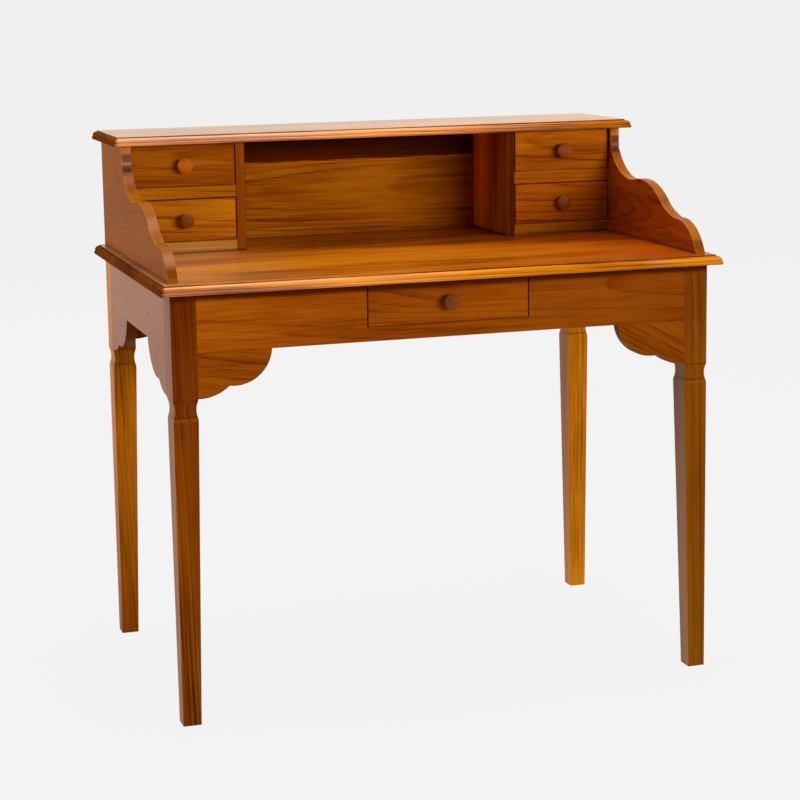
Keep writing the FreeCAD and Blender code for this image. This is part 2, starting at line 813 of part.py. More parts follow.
def drawers():
    """Two stacked drawers at each end of the gallery, and one in the front apron."""
    levels = (("upper", "upper_low", "gallery_under"), ("lower", "lower_low", "lower_high"))
    stacks = (("left", "-side_in", "-divider_out"), ("right", "divider_out", "side_in"))
    for level, low, high in levels:
        for hand, left, right in stacks:
            drawer(f"{level}_{hand}_drawer", left, right, low, high, "unit_front", "small_drawer_length")
    drawer("centre_drawer", "-notch_width/2", "notch_width/2", "notch_low", "under",
           "leg_front", "centre_drawer_length")


def check():
    """Stop unless every object came out whole."""
    doc.recompute()
    for thing in doc.Objects:
        faults = {"Invalid", "Error"} & set(thing.State)
        if faults:
            raise RuntimeError(f"{thing.Label}: {faults}")
    for label, thing in NODES.items():
        if thing.Shape.isNull() or not thing.Shape.isValid() or not thing.Shape.Solids:
            raise RuntimeError(f"{label}: no sound solid")


def write():
    """One STEP file for each sub-part."""
    os.makedirs("parts", exist_ok=True)
    for label, thing in NODES.items():
        thing.Shape.exportStep(f"parts/{label}.step")


desktop()
legs()
aprons()
brackets()
gallery()
stack_rails()
centre_runners()
glue_blocks()
drawers()
check()
write()
print(f"{len(NODES)} sub-parts, {math.fsum(item.Shape.Volume for item in NODES.values()):.0f} cubic mm")
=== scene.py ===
import json
import math
import random
from typing import NamedTuple

import bmesh
import bpy
from bpy.props import FloatProperty, FloatVectorProperty, IntProperty, PointerProperty
from mathutils import Matrix, Vector

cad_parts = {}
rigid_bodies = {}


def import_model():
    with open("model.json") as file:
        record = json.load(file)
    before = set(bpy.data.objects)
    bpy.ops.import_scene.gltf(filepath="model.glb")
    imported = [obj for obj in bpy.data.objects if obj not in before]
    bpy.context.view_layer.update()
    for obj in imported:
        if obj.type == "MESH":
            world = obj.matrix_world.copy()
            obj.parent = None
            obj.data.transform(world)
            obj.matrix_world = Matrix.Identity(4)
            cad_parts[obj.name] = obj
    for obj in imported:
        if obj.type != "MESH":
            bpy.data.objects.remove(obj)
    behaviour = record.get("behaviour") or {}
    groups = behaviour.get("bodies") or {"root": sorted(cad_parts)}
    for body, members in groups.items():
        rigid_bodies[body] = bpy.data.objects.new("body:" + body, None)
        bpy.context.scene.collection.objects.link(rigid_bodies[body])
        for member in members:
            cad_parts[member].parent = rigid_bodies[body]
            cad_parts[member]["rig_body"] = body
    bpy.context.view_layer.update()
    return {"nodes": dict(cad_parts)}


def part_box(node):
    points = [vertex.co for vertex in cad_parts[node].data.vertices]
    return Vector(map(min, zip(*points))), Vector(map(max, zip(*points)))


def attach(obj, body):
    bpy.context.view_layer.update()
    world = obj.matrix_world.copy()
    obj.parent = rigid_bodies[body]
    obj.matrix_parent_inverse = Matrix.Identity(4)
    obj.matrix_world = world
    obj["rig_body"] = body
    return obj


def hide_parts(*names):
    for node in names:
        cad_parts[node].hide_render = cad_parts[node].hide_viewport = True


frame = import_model()

bl_info = {
    "name": "Writing desk with a drawer gallery",
    "version": (1, 0, 0),
    "blender": (4, 5, 0),
    "location": "3D View > Sidebar > Desk",
    "description": "Dresses the packed desk in eased, varnished boards and sets up its studio",
    "category": "Object",
}

IMAGE_SIDE = 800            # side of the picture that the focal length is given for, pixels
SENSOR = 36.0               # width of the camera's sensor, mm
MERGE = 1e-5                # points closer than this are one, m
FLAT = math.radians(0.6)    # faces that turn less than this are joined
SHARP = math.radians(32)    # edges that turn more than this are eased
FACING = 0.8                # how nearly a face has to look along an axis to count as looking that way
AXES = {"X": Vector((1, 0, 0)), "Y": Vector((0, 1, 0)), "Z": Vector((0, 0, 1))}
DRAWERS = ("upper_left", "lower_left", "upper_right", "lower_right", "centre")
VARNISHED, SANDED = "varnished_wood", "sanded_lining"


# The boards, and how each was sawn

class Board(NamedTuple):
    """How one board was sawn, how it took the stain, and the light and shade painted on it."""

    grain: str              # the axis that its fibres follow
    heart: tuple = (0, 0)   # from the board's middle to the heart of the tree, across and through it, m
    lean: float = 0.0       # how far the heart line nears the board in each metre of its length
    tone: float = 0.0       # paler above zero, darker below: one is a doubling
    red: float = 0.0        # redder above zero, more golden below
    figure: float = 1.0     # how strongly the rings show
    turn: float = 0.0       # how far the fibres run off the axis in the plane of the face, degrees
    dull: float = 0.0       # rougher varnish above zero, glossier below
    shine: float = 0.0      # how thick the clear top coat lies
    fade: float = 0.0       # how much paler it grows in each metre of its length, which on some boards paints light and shade
    redden: float = 0.0     # how much redder it grows in each metre of its length
    edge: float = 0.0       # how much paler its front edge is painted, darker below zero as painted shade
    left_face_sheen: float = 0.0      # how strong the painted sheen is on its left face
    bloom: float = 0.0      # how strong the painted sheen is at its left end, and on a scroll the painted glint on its bead


LEGS = {
    "leg_front_left": Board("Z", (0.035, 0.060), 0.030, -1.12, 0.28, 1.5, fade=-1.0, redden=0.9, left_face_sheen=0.18),
    "leg_front_right": Board(
        "Z", (0.060, -0.030), 0.020, -1.00, -0.16, 1.0, fade=-0.1, redden=0.6, left_face_sheen=0.36),
    # On the back legs the tone slope paints light and shade along their length
    "leg_back_left": Board("Z", (-0.070, 0.040), 0.015, -0.30, -0.15, 1.1, fade=1.6, redden=-0.5, left_face_sheen=0.08),
    "leg_back_right": Board("Z", (0.050, 0.080), 0.020, 0.18, -0.40, 1.0, fade=-0.15, left_face_sheen=0.26),
}
APRONS = {
    # The front apron's tone slope paints the light falling off, darker to the right
    "front_apron": Board("X", (0.030, 0.110), 0.030, -0.63, 0.22, 1.1, fade=-1.00, redden=0.3),
    "back_apron": Board("X", (-0.050, 0.080), 0.020, -0.20, 0.10),
    "left_apron": Board("Y", (0.060, 0.070), 0.030, -0.62, -0.16, 0.3, shine=0.25),
    "right_apron": Board("Y", (-0.040, 0.090), 0.030, 0.00, 0.00),
}
# Each pair of brackets is one solid in the frame: the axis that parts it, then the lower and the higher one
BRACKETS = {
    "front_brackets": ("X", Board("X", (0.050, 0.090), 0.05, -0.52, 0.12, 1.0, 4.0),
                       Board("X", (-0.070, 0.060), 0.04, -0.77, 0.08, 1.0, 30.0)),
    "back_brackets": ("X", Board("X", (0.060, 0.070), 0.03, -0.40, 0.10, 1.0, -12.0),
                      Board("X", (0.040, 0.060), 0.03, -0.30, 0.00, 1.0, 15.0)),
    "left_brackets": ("Y", Board("Y", (0.060, 0.070), 0.03, -0.80, 0.00, 0.3, 8.0, shine=0.25),
                      Board("Y", (-0.050, 0.060), 0.03, -0.80, 0.00, 0.3, -10.0, shine=0.25)),
    "right_brackets": ("Y", Board("Y", (0.050, 0.080), 0.03, 0.00, 0.00, 1.0, -8.0),
                       Board("Y", (0.070, 0.060), 0.03, 0.00, 0.10, 1.0, 10.0)),
}
MOULDED = {
    "desktop": Board(
        "X", (0.080, 0.060), 0.020, 0.13, 0.20, 1.5, dull=-0.08, shine=0.36, fade=-1.06, redden=1.3,
        bloom=0.24),
    "gallery_top": Board("X", (-0.060, 0.070), 0.030, 0.22, -0.70, 0.9, dull=-0.12, shine=0.55),
}
GALLERY = {
    "left_gallery_side": Board("Y", (0.050, 0.070), 0.040, -0.80, -0.11, 0.4, dull=0.14, bloom=0.50),
    "right_gallery_side": Board("Y", (-0.040, 0.050), 0.060, -0.60, 0.58, 1.0, bloom=0.20),
    # The lower back board's tone slope paints shade, darker to the right
    "lower_back_board": Board("X", (0.020, 0.070), 0.025, -0.47, -0.02, 1.4, fade=-0.6, redden=0.5),
    # Painted shade on the front of the upper back board
    "upper_back_board": Board("X", (0.060, 0.060), 0.020, -0.40, 0.30, 1.0, edge=-1.55),
    "left_divider": Board("Z", (0.120, 0.030), 0.010, -0.52, 0.04, 0.9),
    # Painted shade on the front edge of the right divider
    "right_divider": Board("Z", (0.160, 0.010), 0.010, 1.35, -0.30, 1.4, edge=-2.3),
    "left_mid_rail": Board("X", (0.060, 0.050), 0.020, 0.03, -0.29, 0.9),
    "right_mid_rail": Board("X", (0.050, 0.070), 0.020, -0.35, 0.05, 0.9),
    "left_base_rail": Board("X", (0.060, 0.080), 0.020, -0.08, -0.62, 0.8, shine=0.2, bloom=0.20),
    "right_base_rail": Board("X", (0.070, 0.060), 0.020, -0.60, 0.00, 0.8),
}
FRONTS = {
    "upper_left": Board("X", (0.030, 0.080), 0.030, -0.41, -0.08, 1.0),
    "lower_left": Board("X", (0.050, 0.060), 0.050, -0.25, -0.22, 1.4, fade=2.2),
    "upper_right": Board("X", (0.020, 0.090), 0.040, -0.17, -0.04, 1.3),
    "lower_right": Board("X", (0.060, 0.070), 0.030, -0.44, 0.30, 1.6),
    "centre": Board("X", (0.040, 0.070), 0.045, -0.51, 0.19, 0.8),
}
LININGS = {
    "left_side": Board("Y", (0.040, 0.060), 0.02),
    "right_side": Board("Y", (-0.050, 0.070), 0.02),
    "back": Board("X", (0.030, 0.080), 0.02),
    "bottom": Board("X", (0.080, 0.050), 0.02, 0.05),
}
INNER = {
    "left_drawer_runners": Board("Y", (0.050, 0.060), 0.02),
    "right_drawer_runners": Board("Y", (0.060, 0.050), 0.02),
    "centre_drawer_runners": Board("Y", (0.050, 0.070), 0.02),
    "centre_drawer_stops": Board("X", (0.050, 0.060), 0.02),
    "desktop_glue_blocks": Board("X", (0.060, 0.060), 0.02),
}
KNOBS = {
    "upper_left": Board("Y", (0.004, 0.010), 0.0, 0.60, -0.12, 0.9, shine=0.35),
    "lower_left": Board("Y", (-0.006, 0.012), 0.0, -0.65, 0.00, 0.9, shine=0.35),
    "upper_right": Board("Y", (0.010, 0.003), 0.0, -0.35, -0.05, 0.9, shine=0.35),
    "lower_right": Board("Y", (0.007, -0.009), 0.0, -0.50, 0.00, 0.9, shine=0.35),
    "centre": Board("Y", (-0.009, 0.006), 0.0, -0.70, 0.05, 0.9, shine=0.35),
}
# The moulded edges of the desktop and the gallery top are coloured paler than their boards, with painted
# sheen
MOULDINGS = {
    "desktop": Board("X", tone=0.72, red=-0.30, figure=1.8, dull=-0.04, shine=0.35, fade=-0.9, bloom=0.16),
    "gallery_top": Board("X", tone=1.10, red=-0.40, figure=1.7, dull=-0.04, shine=0.6, fade=-1.0, bloom=0.40),
}
SIDE_MOULDING = Board("X", tone=-1.20, figure=1.5, dull=0.45)   # the same at the left end of both
# Where along the desk the varnish and painted sheen of their front edges begin to thin, and where they end, m
THINNING = {"desktop": (-0.25, 0.10), "gallery_top": (-0.20, 0.45)}

RED_SHARES = (0.0, 1.0, 1.5)    # how much a redder stain takes from the red, green and blue of the wood
EDGE_REACH = 0.003              # how far back the painted shade of a front edge reaches, m
EDGE_SHARES = (1.0, 1.25, 1.5)  # how much that painted shade takes from red, green and blue
FRONT_SHARE = 1.5               # how much more of it lies on the face that looks forward
SHEEN_REACH = 0.30              # how far the painted sheen reaches in from the left end of a board, m
COAT_LOSS = 0.75                # share of the clear coat that such a board has lost at its right end
BAND_SHEEN = 0.25               # share of a scroll's painted sheen that lies on the end grain below its ear
LOG_REACH = 9.0                 # how far up or down the tree a board may have lain, m, so that no two match

# How pale or dark the eased edges are, above and below zero: worn on the legs, aprons, brackets and linings,
# and a painted highlight on the leg shoulders
LEG_WEAR, SHOULDER_HIGHLIGHT = 0.35, 0.35
APRON_WEAR, BRACKET_WEAR = -0.3, 0.2
# Painted shade on the edges of the drawer fronts, the dividers and the left rails, and painted highlights on
# the other gallery boards
FRONT_EDGE_SHADE, LINING_WEAR = -0.8, 1.0
GALLERY_EDGE_SHADING = {
    "left_divider": -0.4, "right_divider": -0.4, "left_mid_rail": -0.4, "left_base_rail": -0.4,
    "right_mid_rail": 2.2, "right_base_rail": 2.2}
OTHER_GALLERY_HIGHLIGHT = 2.0

# How dark the painted shade lies: below the desktop, in a fine line, on a knob's neck and on the lines of a
# moulding
UNDER_SHADE, LINE_SHADE, NECK_SHADE = 3.0, 0.8, 1.3
BEAD_SHADE, QUIRK_SHADE, STEP_SHADE, LIP_SHADE = 0.35, 0.55, 1.3, 0.9
# Painted shade along the foot of the gallery: how many half widths of a fine line up, and how dark it lies
# there
FOOT_SHADE = ((0, 1.6), (1, 0.8), (3, 0.0))
# Painted shade and painted highlights up a gallery side's scrolled edge: how far below its top, m, and how
# dark, pale below zero
SCROLL_SHADING = (
    (0.199, -0.4), (0.193, -0.3), (0.189, 0.5), (0.179, 0.5), (0.172, -0.5), (0.152, -0.5), (0.146, 0.15),
    (0.137, 0.1), (0.131, -0.5), (0.087, -0.5), (0.079, 0.2), (0.071, 0.2), (0.063, -0.4), (0.049, -0.4),
    (0.044, 0.9), (0.036, 0.9), (0.032, -0.5), (0.028, 0.9), (0.016, 0.9), (0.014, -2.0), (0.000, -2.0))
# How far the faces of that edge may look aside, back and down
SCROLL_ASIDE, SCROLL_BACK, SCROLL_DOWN = 0.5, 0.3, 0.5

# Small knots: the node, the share of its box where it sits, its radius, m, and the axis it is drawn out along
KNOTS = (
    ("leg_back_left", (0.55, 0.00, 0.035), 0.0055, "Z"),
    ("right_gallery_side", (0.00, 0.42, 0.55), 0.0060, "Y"),
    ("desktop", (0.334, 0.757, 1.00), 0.0035, "X"),
    ("left_apron", (0.00, 0.30, 0.40), 0.0050, "Y"),
)
KNOT_STRETCH = 1.8      # how much longer a knot is than wide
# Between which distances a knot fades, in its radii, how strong it is where it darkens, and how dark it gets
KNOT_FADE, KNOT_CORE, KNOT_DARK = (0.2, 2.2), (0.55, 1.0), 0.85


# The marks in the wood and the varnish

class Mark(NamedTuple):
    """Noise drawn out along the fibres, and what it does to the wood."""

    along: float            # how often it changes in a metre along the fibres
    across: float           # how often it changes in a metre across them
    detail: float = 2.0     # how many finer layers it has
    finer: float = 0.5      # how strongly those show
    span: tuple = ()        # for a mark with bounds: the noise where it begins, and where it is full
    strength: float = 0.0   # how much it darkens or clouds the wood, or how far it bends the rings, m
    rough: float = 0.0      # how much rougher it leaves the varnish
    relief: float = 0.0     # how far it stands up or sinks in, as a share of the height of the bumps


WANDER = Mark(1.3, 7.0, strength=0.026)
RIPPLE = Mark(7.0, 30.0, strength=0.0035)
CLOUD = Mark(2.2, 12.0, 3.0, strength=1.30)
STREAK = Mark(1.5, 110.0, strength=0.50)
THREAD = Mark(2.0, 420.0, 3.0, 0.6, strength=0.80, rough=0.16)
FIBRE = Mark(26.0, 1300.0, 2.0, 0.6, strength=0.25, relief=0.5)
PORE = Mark(95.0, 2100.0, 1.0, span=(0.16, 0.26), strength=0.35, rough=0.14, relief=0.8)
SCUFF = Mark(11.0, 30.0, 3.0, span=(0.16, 0.34), strength=0.08, rough=0.10)
PATCHES = Mark(14.0, 60.0, 3.0, span=(-0.12, 0.22))

# One ring from its early to its late wood: share of its width, and how dark it is there
RING_SHADES = ((0.0, 0.0), (0.50, 0.12), (0.78, 0.55), (0.90, 1.0), (0.96, 0.5), (1.0, 0.0))
FAINTEST_RING = 0.15    # how dark the faintest ring is, against the darkest
RING_STRENGTH = 0.34    # how much the rings darken the wood
RING_EVEN = 0.07        # what is taken off that, so that a strong figure doesn't darken a whole board
RING_RELIEF = 0.25      # how far they sink in, as a share of the height of the bumps
KNOT_PUSH = 2.2         # how many rings a knot pushes aside
# Where the palest, usual, dark and darkest colours lie on the scale of shades, and where plain wood lies
SHADES, PLAIN_SHADE = (0.0, 0.38, 0.68, 1.0), 0.36
LINING_CONTRAST = 0.8   # how strongly the linings are marked, against the varnished boards
# End grain: how much less it is marked, and how much darker and rougher it is
END_CALM, END_DARK, END_ROUGH = 0.7, 0.20, 0.08
# Pale places, from wear and painted highlights: how pale at least, how much paler at most, and how much
# rougher and shinier
PALE_LEAST, PALE_MORE, PALE_ROUGH, PALE_SHINE = 0.12, 0.45, 0.06, 0.04
# Dark places, from painted shade and soiled apron edges: how dark at most, and how much less where the patch
# noise is high
DARK_MOST, DARK_LESS = 0.85, 0.25
# The varnish: how much its body mirrors, how rough its coat is, and the strength and height, m, of its bumps
SPECULAR, COAT_ROUGHNESS = 0.022, 0.22
BUMP_STRENGTH, BUMP_HEIGHT = 0.22, 0.0004


# The knobs, the mouldings and the studio

# The turned outline of a knob, from its drawer outwards: share of its reach, and share of its radius there
KNOB_OUTLINE = (
    (-0.10, 0.56), (0.00, 0.60), (0.06, 0.57), (0.20, 0.50), (0.36, 0.50), (0.45, 0.58), (0.49, 0.74),
    (0.52, 0.88), (0.58, 0.97), (0.66, 1.00), (0.75, 0.98), (0.83, 0.90), (0.90, 0.76), (0.955, 0.55),
    (0.988, 0.30), (1.00, 0.00))
KNOB_NECK = 0.5         # share of its reach that is neck
BEAD_STEPS = 6          # number of faces round the bead of a moulding
LIP_SHARE = 0.25        # share of the step at the top of a moulding that its eased edge takes

# The lamps: name, place, size, the setting that holds the power, and whether a glossy surface mirrors it
LAMPS = (
    ("key_light", (3.2, -6.2, 1.95), (5.0, 1.0), "key_power", False),
    ("top_light", (0.3, 0.1, 3.3), (1.6, 1.6), "top_power", True),
    ("side_light", (-4.0, 0.3, 1.4), (1.8, 1.8), "side_power", False),
    ("back_light", (0.8, 4.5, 2.2), (2.0, 2.0), "back_power", False),
)
LIT_POINT = (0.0, 0.0, 0.72)    # where they all aim
WHITE = (1.0, 1.0, 1.0)
FLOOR_HALF = 400.0              # half the side of the floor, m
FLOOR_GREY = (0.5, 0.5, 0.5)    # the floor as light and shadow fall on it
FLOOR_GLOW = 1.04               # the floor's own light, against the backdrop's
FLOOR_SHARE = 0.94              # share of that glow in the floor that is seen, beside light and shadow


# Sizes and colours that a user would change

class DeskShape(bpy.types.PropertyGroup):
    """Sizes of the eased edges, the moulding and the knobs."""

    ease: FloatProperty(
        name="Eased edge", description="Radius sanded onto the edges of the boards",
        default=0.0011, min=0.0, unit="LENGTH")
    ease_steps: IntProperty(
        name="Edge steps", description="Number of faces round an eased edge", default=3, min=1)
    small_ease: FloatProperty(
        name="Lining edge", description="Radius on the edges of the thin inner boards",
        default=0.0005, min=0.0, unit="LENGTH")
    seam_ease: FloatProperty(
        name="Seam edge", description="Radius on the edges of the back boards, which makes their seam show",
        default=0.0024, min=0.0, unit="LENGTH")
    mould_run: FloatProperty(
        name="Moulding width", description="How far the moulding reaches in over the board",
        default=0.010, unit="LENGTH")
    mould_step: FloatProperty(
        name="Moulding step", description="Height of the small step at the top of the moulding",
        default=0.002, unit="LENGTH")
    bead_height: FloatProperty(
        name="Bead height", description="Height of the bead under the moulding",
        default=0.0058, unit="LENGTH")
    bead_lip: FloatProperty(
        name="Bead lip", description="How far the bead stands out past the ovolo",
        default=0.0015, unit="LENGTH")
    bead_swell: FloatProperty(
        name="Bead swell", description="How far the bead is rounded back", default=0.0014, unit="LENGTH")
    quirk: FloatProperty(
        name="Quirk", description="Width of the fine grooves beside the ovolo", default=0.0012, unit="LENGTH")
    mould_steps: IntProperty(
        name="Moulding steps", description="Number of faces round the ovolo", default=8, min=2)
    # Painted shade under an overhanging board
    shade_depth: FloatProperty(
        name="Soil depth", description="How far down the dirt reaches under an overhanging board",
        default=0.0165, unit="LENGTH")
    # Fine lines of painted shade
    shade_line: FloatProperty(
        name="Soil line", description="Half the width of a fine line of dirt", default=0.002, unit="LENGTH")
    neck_top: FloatProperty(
        name="Neck top", description="From the top of a leg down to its hollowed neck",
        default=0.1775, unit="LENGTH")
    neck_low: FloatProperty(
        name="Neck end", description="From the top of a leg down to the shoulder under its neck",
        default=0.2050, unit="LENGTH")
    shoulder: FloatProperty(
        name="Shoulder", description="Height of the shoulder under a neck", default=0.010, unit="LENGTH")
    ear_block: FloatProperty(
        name="Ear", description="Height of the plain block at the top of a scroll",
        default=0.013, unit="LENGTH")
    # Painted shade and painted sheen on this band
    ear_band: FloatProperty(
        name="Ear band", description="Height of the dark end grain below the block",
        default=0.028, unit="LENGTH")
    # A painted glint on this bead
    ear_bead: FloatProperty(
        name="Ear bead", description="From the top of a scroll down to its small bead",
        default=0.032, unit="LENGTH")
    ear_swell: FloatProperty(
        name="Ear swell", description="How far the small bead stands out", default=0.0026, unit="LENGTH")
    scroll_shine: FloatProperty(
        name="Scroll varnish", description="How thick the clear coat lies on the scrolled edges",
        subtype="FACTOR", default=0.15, min=0.0, max=1.0)
    scroll_tone: FloatProperty(
        name="Scroll tone", description="How pale the scrolled edges are, in doublings", default=-0.38)
    scroll_red: FloatProperty(
        name="Scroll stain", description="How red the scrolled edges are, golden below zero", default=-0.22)
    ear_shine: FloatProperty(
        name="Ear varnish", description="How thick the clear coat lies below the ears",
        subtype="FACTOR", default=0.20, min=0.0, max=1.0)
    knob_reach: FloatProperty(
        name="Knob reach", description="How far a knob stands out from its drawer",
        default=0.0206, unit="LENGTH")
    knob_radius: FloatProperty(
        name="Knob radius", description="Radius of a knob at its rim", default=0.0138, unit="LENGTH")
    knob_turns: IntProperty(
        name="Knob steps", description="Number of faces round a knob", default=40, min=8)


class DeskFinish(bpy.types.PropertyGroup):
    """Colours and sizes of the grain and the varnish."""

    honey: FloatVectorProperty(
        name="Honey", description="Palest wood between the rings", subtype="COLOR",
        default=(0.545, 0.152, 0.0040))
    amber: FloatVectorProperty(
        name="Amber", description="Usual colour of the wood", subtype="COLOR", default=(0.385, 0.087, 0.0014))
    russet: FloatVectorProperty(
        name="Russet", description="Darker bands", subtype="COLOR", default=(0.215, 0.038, 0.0008))
    umber: FloatVectorProperty(
        name="Umber", description="Darkest lines and knots", subtype="COLOR", default=(0.065, 0.009, 0.0006))
    # Colour of the scuffs, and of the painted sheen
    scuff_and_sheen: FloatVectorProperty(
        name="Haze", description="Scuffs and bloom in the old varnish", subtype="COLOR",
        default=(0.62, 0.38, 0.25))
    lining_pale: FloatVectorProperty(
        name="Lining pale", description="Palest wood of the linings", subtype="COLOR",
        default=(0.62, 0.40, 0.19))
    lining_mid: FloatVectorProperty(
        name="Lining", description="Usual colour of the linings", subtype="COLOR",
        default=(0.49, 0.28, 0.115))
    lining_dark: FloatVectorProperty(
        name="Lining dark", description="Dark bands of the linings", subtype="COLOR",
        default=(0.28, 0.135, 0.045))
    ring: FloatProperty(
        name="Ring", description="Usual width of a year's growth", default=0.0062, unit="LENGTH")
    varnish: FloatProperty(
        name="Varnish", description="Roughness of the varnish", subtype="FACTOR",
        default=0.34, min=0.0, max=1.0)
    sanded: FloatProperty(
        name="Sanded", description="Roughness of the bare inner wood", subtype="FACTOR",
        default=0.62, min=0.0, max=1.0)


class DeskStage(bpy.types.PropertyGroup):
    """Camera, light and floor."""

    camera_place: FloatVectorProperty(
        name="Camera place", description="Where the camera stands", subtype="XYZ", unit="LENGTH",
        default=(-1.1659, -3.7020, 1.2302))
    camera_turn: FloatProperty(
        name="Camera turn", description="How far the camera looks to the right of straight back",
        subtype="ANGLE", default=math.radians(17.520))
    camera_tilt: FloatProperty(
        name="Camera tilt", description="How far the camera looks down", subtype="ANGLE",
        default=math.radians(9.457))
    camera_roll: FloatProperty(
        name="Camera roll", description="How far the camera leans", subtype="ANGLE",
        default=math.radians(-0.890))
    focal_pixels: FloatProperty(
        name="Focal length", description="Focal length in pixels of the picture", subtype="PIXEL",
        default=2152.8)
    picture_shift: FloatProperty(
        name="Picture shift", description="How far the picture is moved down the lens, in picture heights",
        default=-0.075)
    backdrop: FloatVectorProperty(
        name="Backdrop", description="Pale colour of the floor and backdrop", subtype="COLOR",
        default=(0.886, 0.886, 0.884))
    fill: FloatProperty(
        name="Fill", description="Strength of the even light from all round", default=0.15)
    key_power: FloatProperty(
        name="Key light", description="Power of the soft light from the front right", unit="POWER",
        default=392.0)
    top_power: FloatProperty(
        name="Top light", description="Power of the soft light overhead", unit="POWER", default=62.0)
    side_power: FloatProperty(
        name="Side light", description="Power of the soft light from the left", unit="POWER", default=105.0)
    back_power: FloatProperty(
        name="Back light", description="Power of the soft light from behind", unit="POWER", default=55.0)


# Shader arithmetic

class Field:
    """A socket whose value varies over a surface; arithmetic on it adds Math nodes."""

    def __init__(self, finish, socket):
        self.finish = finish
        self.socket = socket

    def math(self, operation, *values):
        return self.finish.add("ShaderNodeMath", {"operation": operation}, values)

    def __add__(self, other):
        return self.math("ADD", self, other)

    def __sub__(self, other):
        return self.math("SUBTRACT", self, other)

    def __rsub__(self, other):
        return self.math("SUBTRACT", other, self)

    def __mul__(self, other):
        return self.math("MULTIPLY", self, other)

    def __truediv__(self, other):
        return self.math("DIVIDE", self, other)

    def __rtruediv__(self, other):
        return self.math("DIVIDE", other, self)

    def __pow__(self, other):
        return self.math("POWER", self, other)

    def __rpow__(self, other):
        return self.math("POWER", other, self)

    __radd__ = __add__
    __rmul__ = __mul__


class Finish:
    """The nodes of a material or a world in the making."""

    def __init__(self, owner):
        owner.use_nodes = True
        self.tree = owner.node_tree
        self.tree.nodes.clear()

    def add(self, kind, settings=None, sockets=(), output=0):
        """Adds a node: its settings first, then the values or links of its sockets."""
        node = self.tree.nodes.new(kind)
        for key, value in (settings or {}).items():
            if key == "stops":
                set_stops(node.color_ramp, value)
            else:
                setattr(node, key, value)
        for key, value in sockets.items() if isinstance(sockets, dict) else enumerate(sockets):
            if isinstance(value, Field):
                self.tree.links.new(value.socket, node.inputs[key])
            else:
                node.inputs[key].default_value = value
        return Field(self, node.outputs[output]) if node.outputs else None

    def read(self, name, output="Vector"):
        return self.add("ShaderNodeAttribute", {"attribute_name": name}, (), output)

    def parts(self, vector):
        first = self.add("ShaderNodeSeparateXYZ", None, (vector,))
        return [Field(self, socket) for socket in first.socket.node.outputs]

    def stretch(self, vector, scale):
        return self.add("ShaderNodeVectorMath", {"operation": "MULTIPLY"}, (vector, scale))

    def noise(self, grain, mark):
        """A mark as noise about zero, or from none to full where the mark has bounds."""
        drawn = self.stretch(grain, (mark.along, mark.across, mark.across))
        sockets = {"Vector": drawn, "Scale": 1.0, "Detail": mark.detail, "Roughness": mark.finer}
        noise = self.add("ShaderNodeTexNoise", {"noise_dimensions": "3D"}, sockets, "Fac") - 0.5
        return self.slope(noise, mark.span) if mark.span else noise

    def slope(self, value, span, from_value=0.0, to_value=1.0):
        """A smooth step from one value to another over a span."""
        low, high = span
        sockets = {
            "Value": value, "From Min": low, "From Max": high, "To Min": from_value, "To Max": to_value}
        return self.add("ShaderNodeMapRange", {"interpolation_type": "SMOOTHSTEP"}, sockets)

    def ramp(self, value, stops):
        return self.add("ShaderNodeValToRGB", {"stops": stops}, (value,))

    def blend(self, factor, first, second):
        """Mixes two colours, which a Mix node takes at its sockets 6 and 7 and gives at its output 2."""
        return self.add("ShaderNodeMix", {"data_type": "RGBA"}, {0: factor, 6: first, 7: second}, 2)


def set_stops(ramp, stops):
    while len(ramp.elements) < len(stops):
        ramp.elements.new(1.0)
    for element, (place, colour) in zip(ramp.elements, stops):
        element.position = place
        element.color = opaque((colour,) * 3 if isinstance(colour, float) else colour)


def opaque(colour):
    return (*colour, 1.0)


def knot_field(finish):
    """One inside each small knot, falling to zero around it."""
    place = finish.add("ShaderNodeTexCoord", None, (), "Object")
    total = None
    for node, share, radius, axis in KNOTS:
        low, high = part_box(node)
        centre = [a + (b - a) * s for a, b, s in zip(low, high, share)]
        offset = finish.add("ShaderNodeVectorMath", {"operation": "SUBTRACT"}, (place, centre))
        scale = [1 / (radius * (KNOT_STRETCH if name == axis else 1.0)) for name in AXES]
        drawn = finish.stretch(offset, scale)
        near = finish.add("ShaderNodeVectorMath", {"operation": "LENGTH"}, (drawn,), "Value")
        mask = finish.slope(near, KNOT_FADE, 1.0, 0.0)
        total = mask if total is None else total + mask
    return total


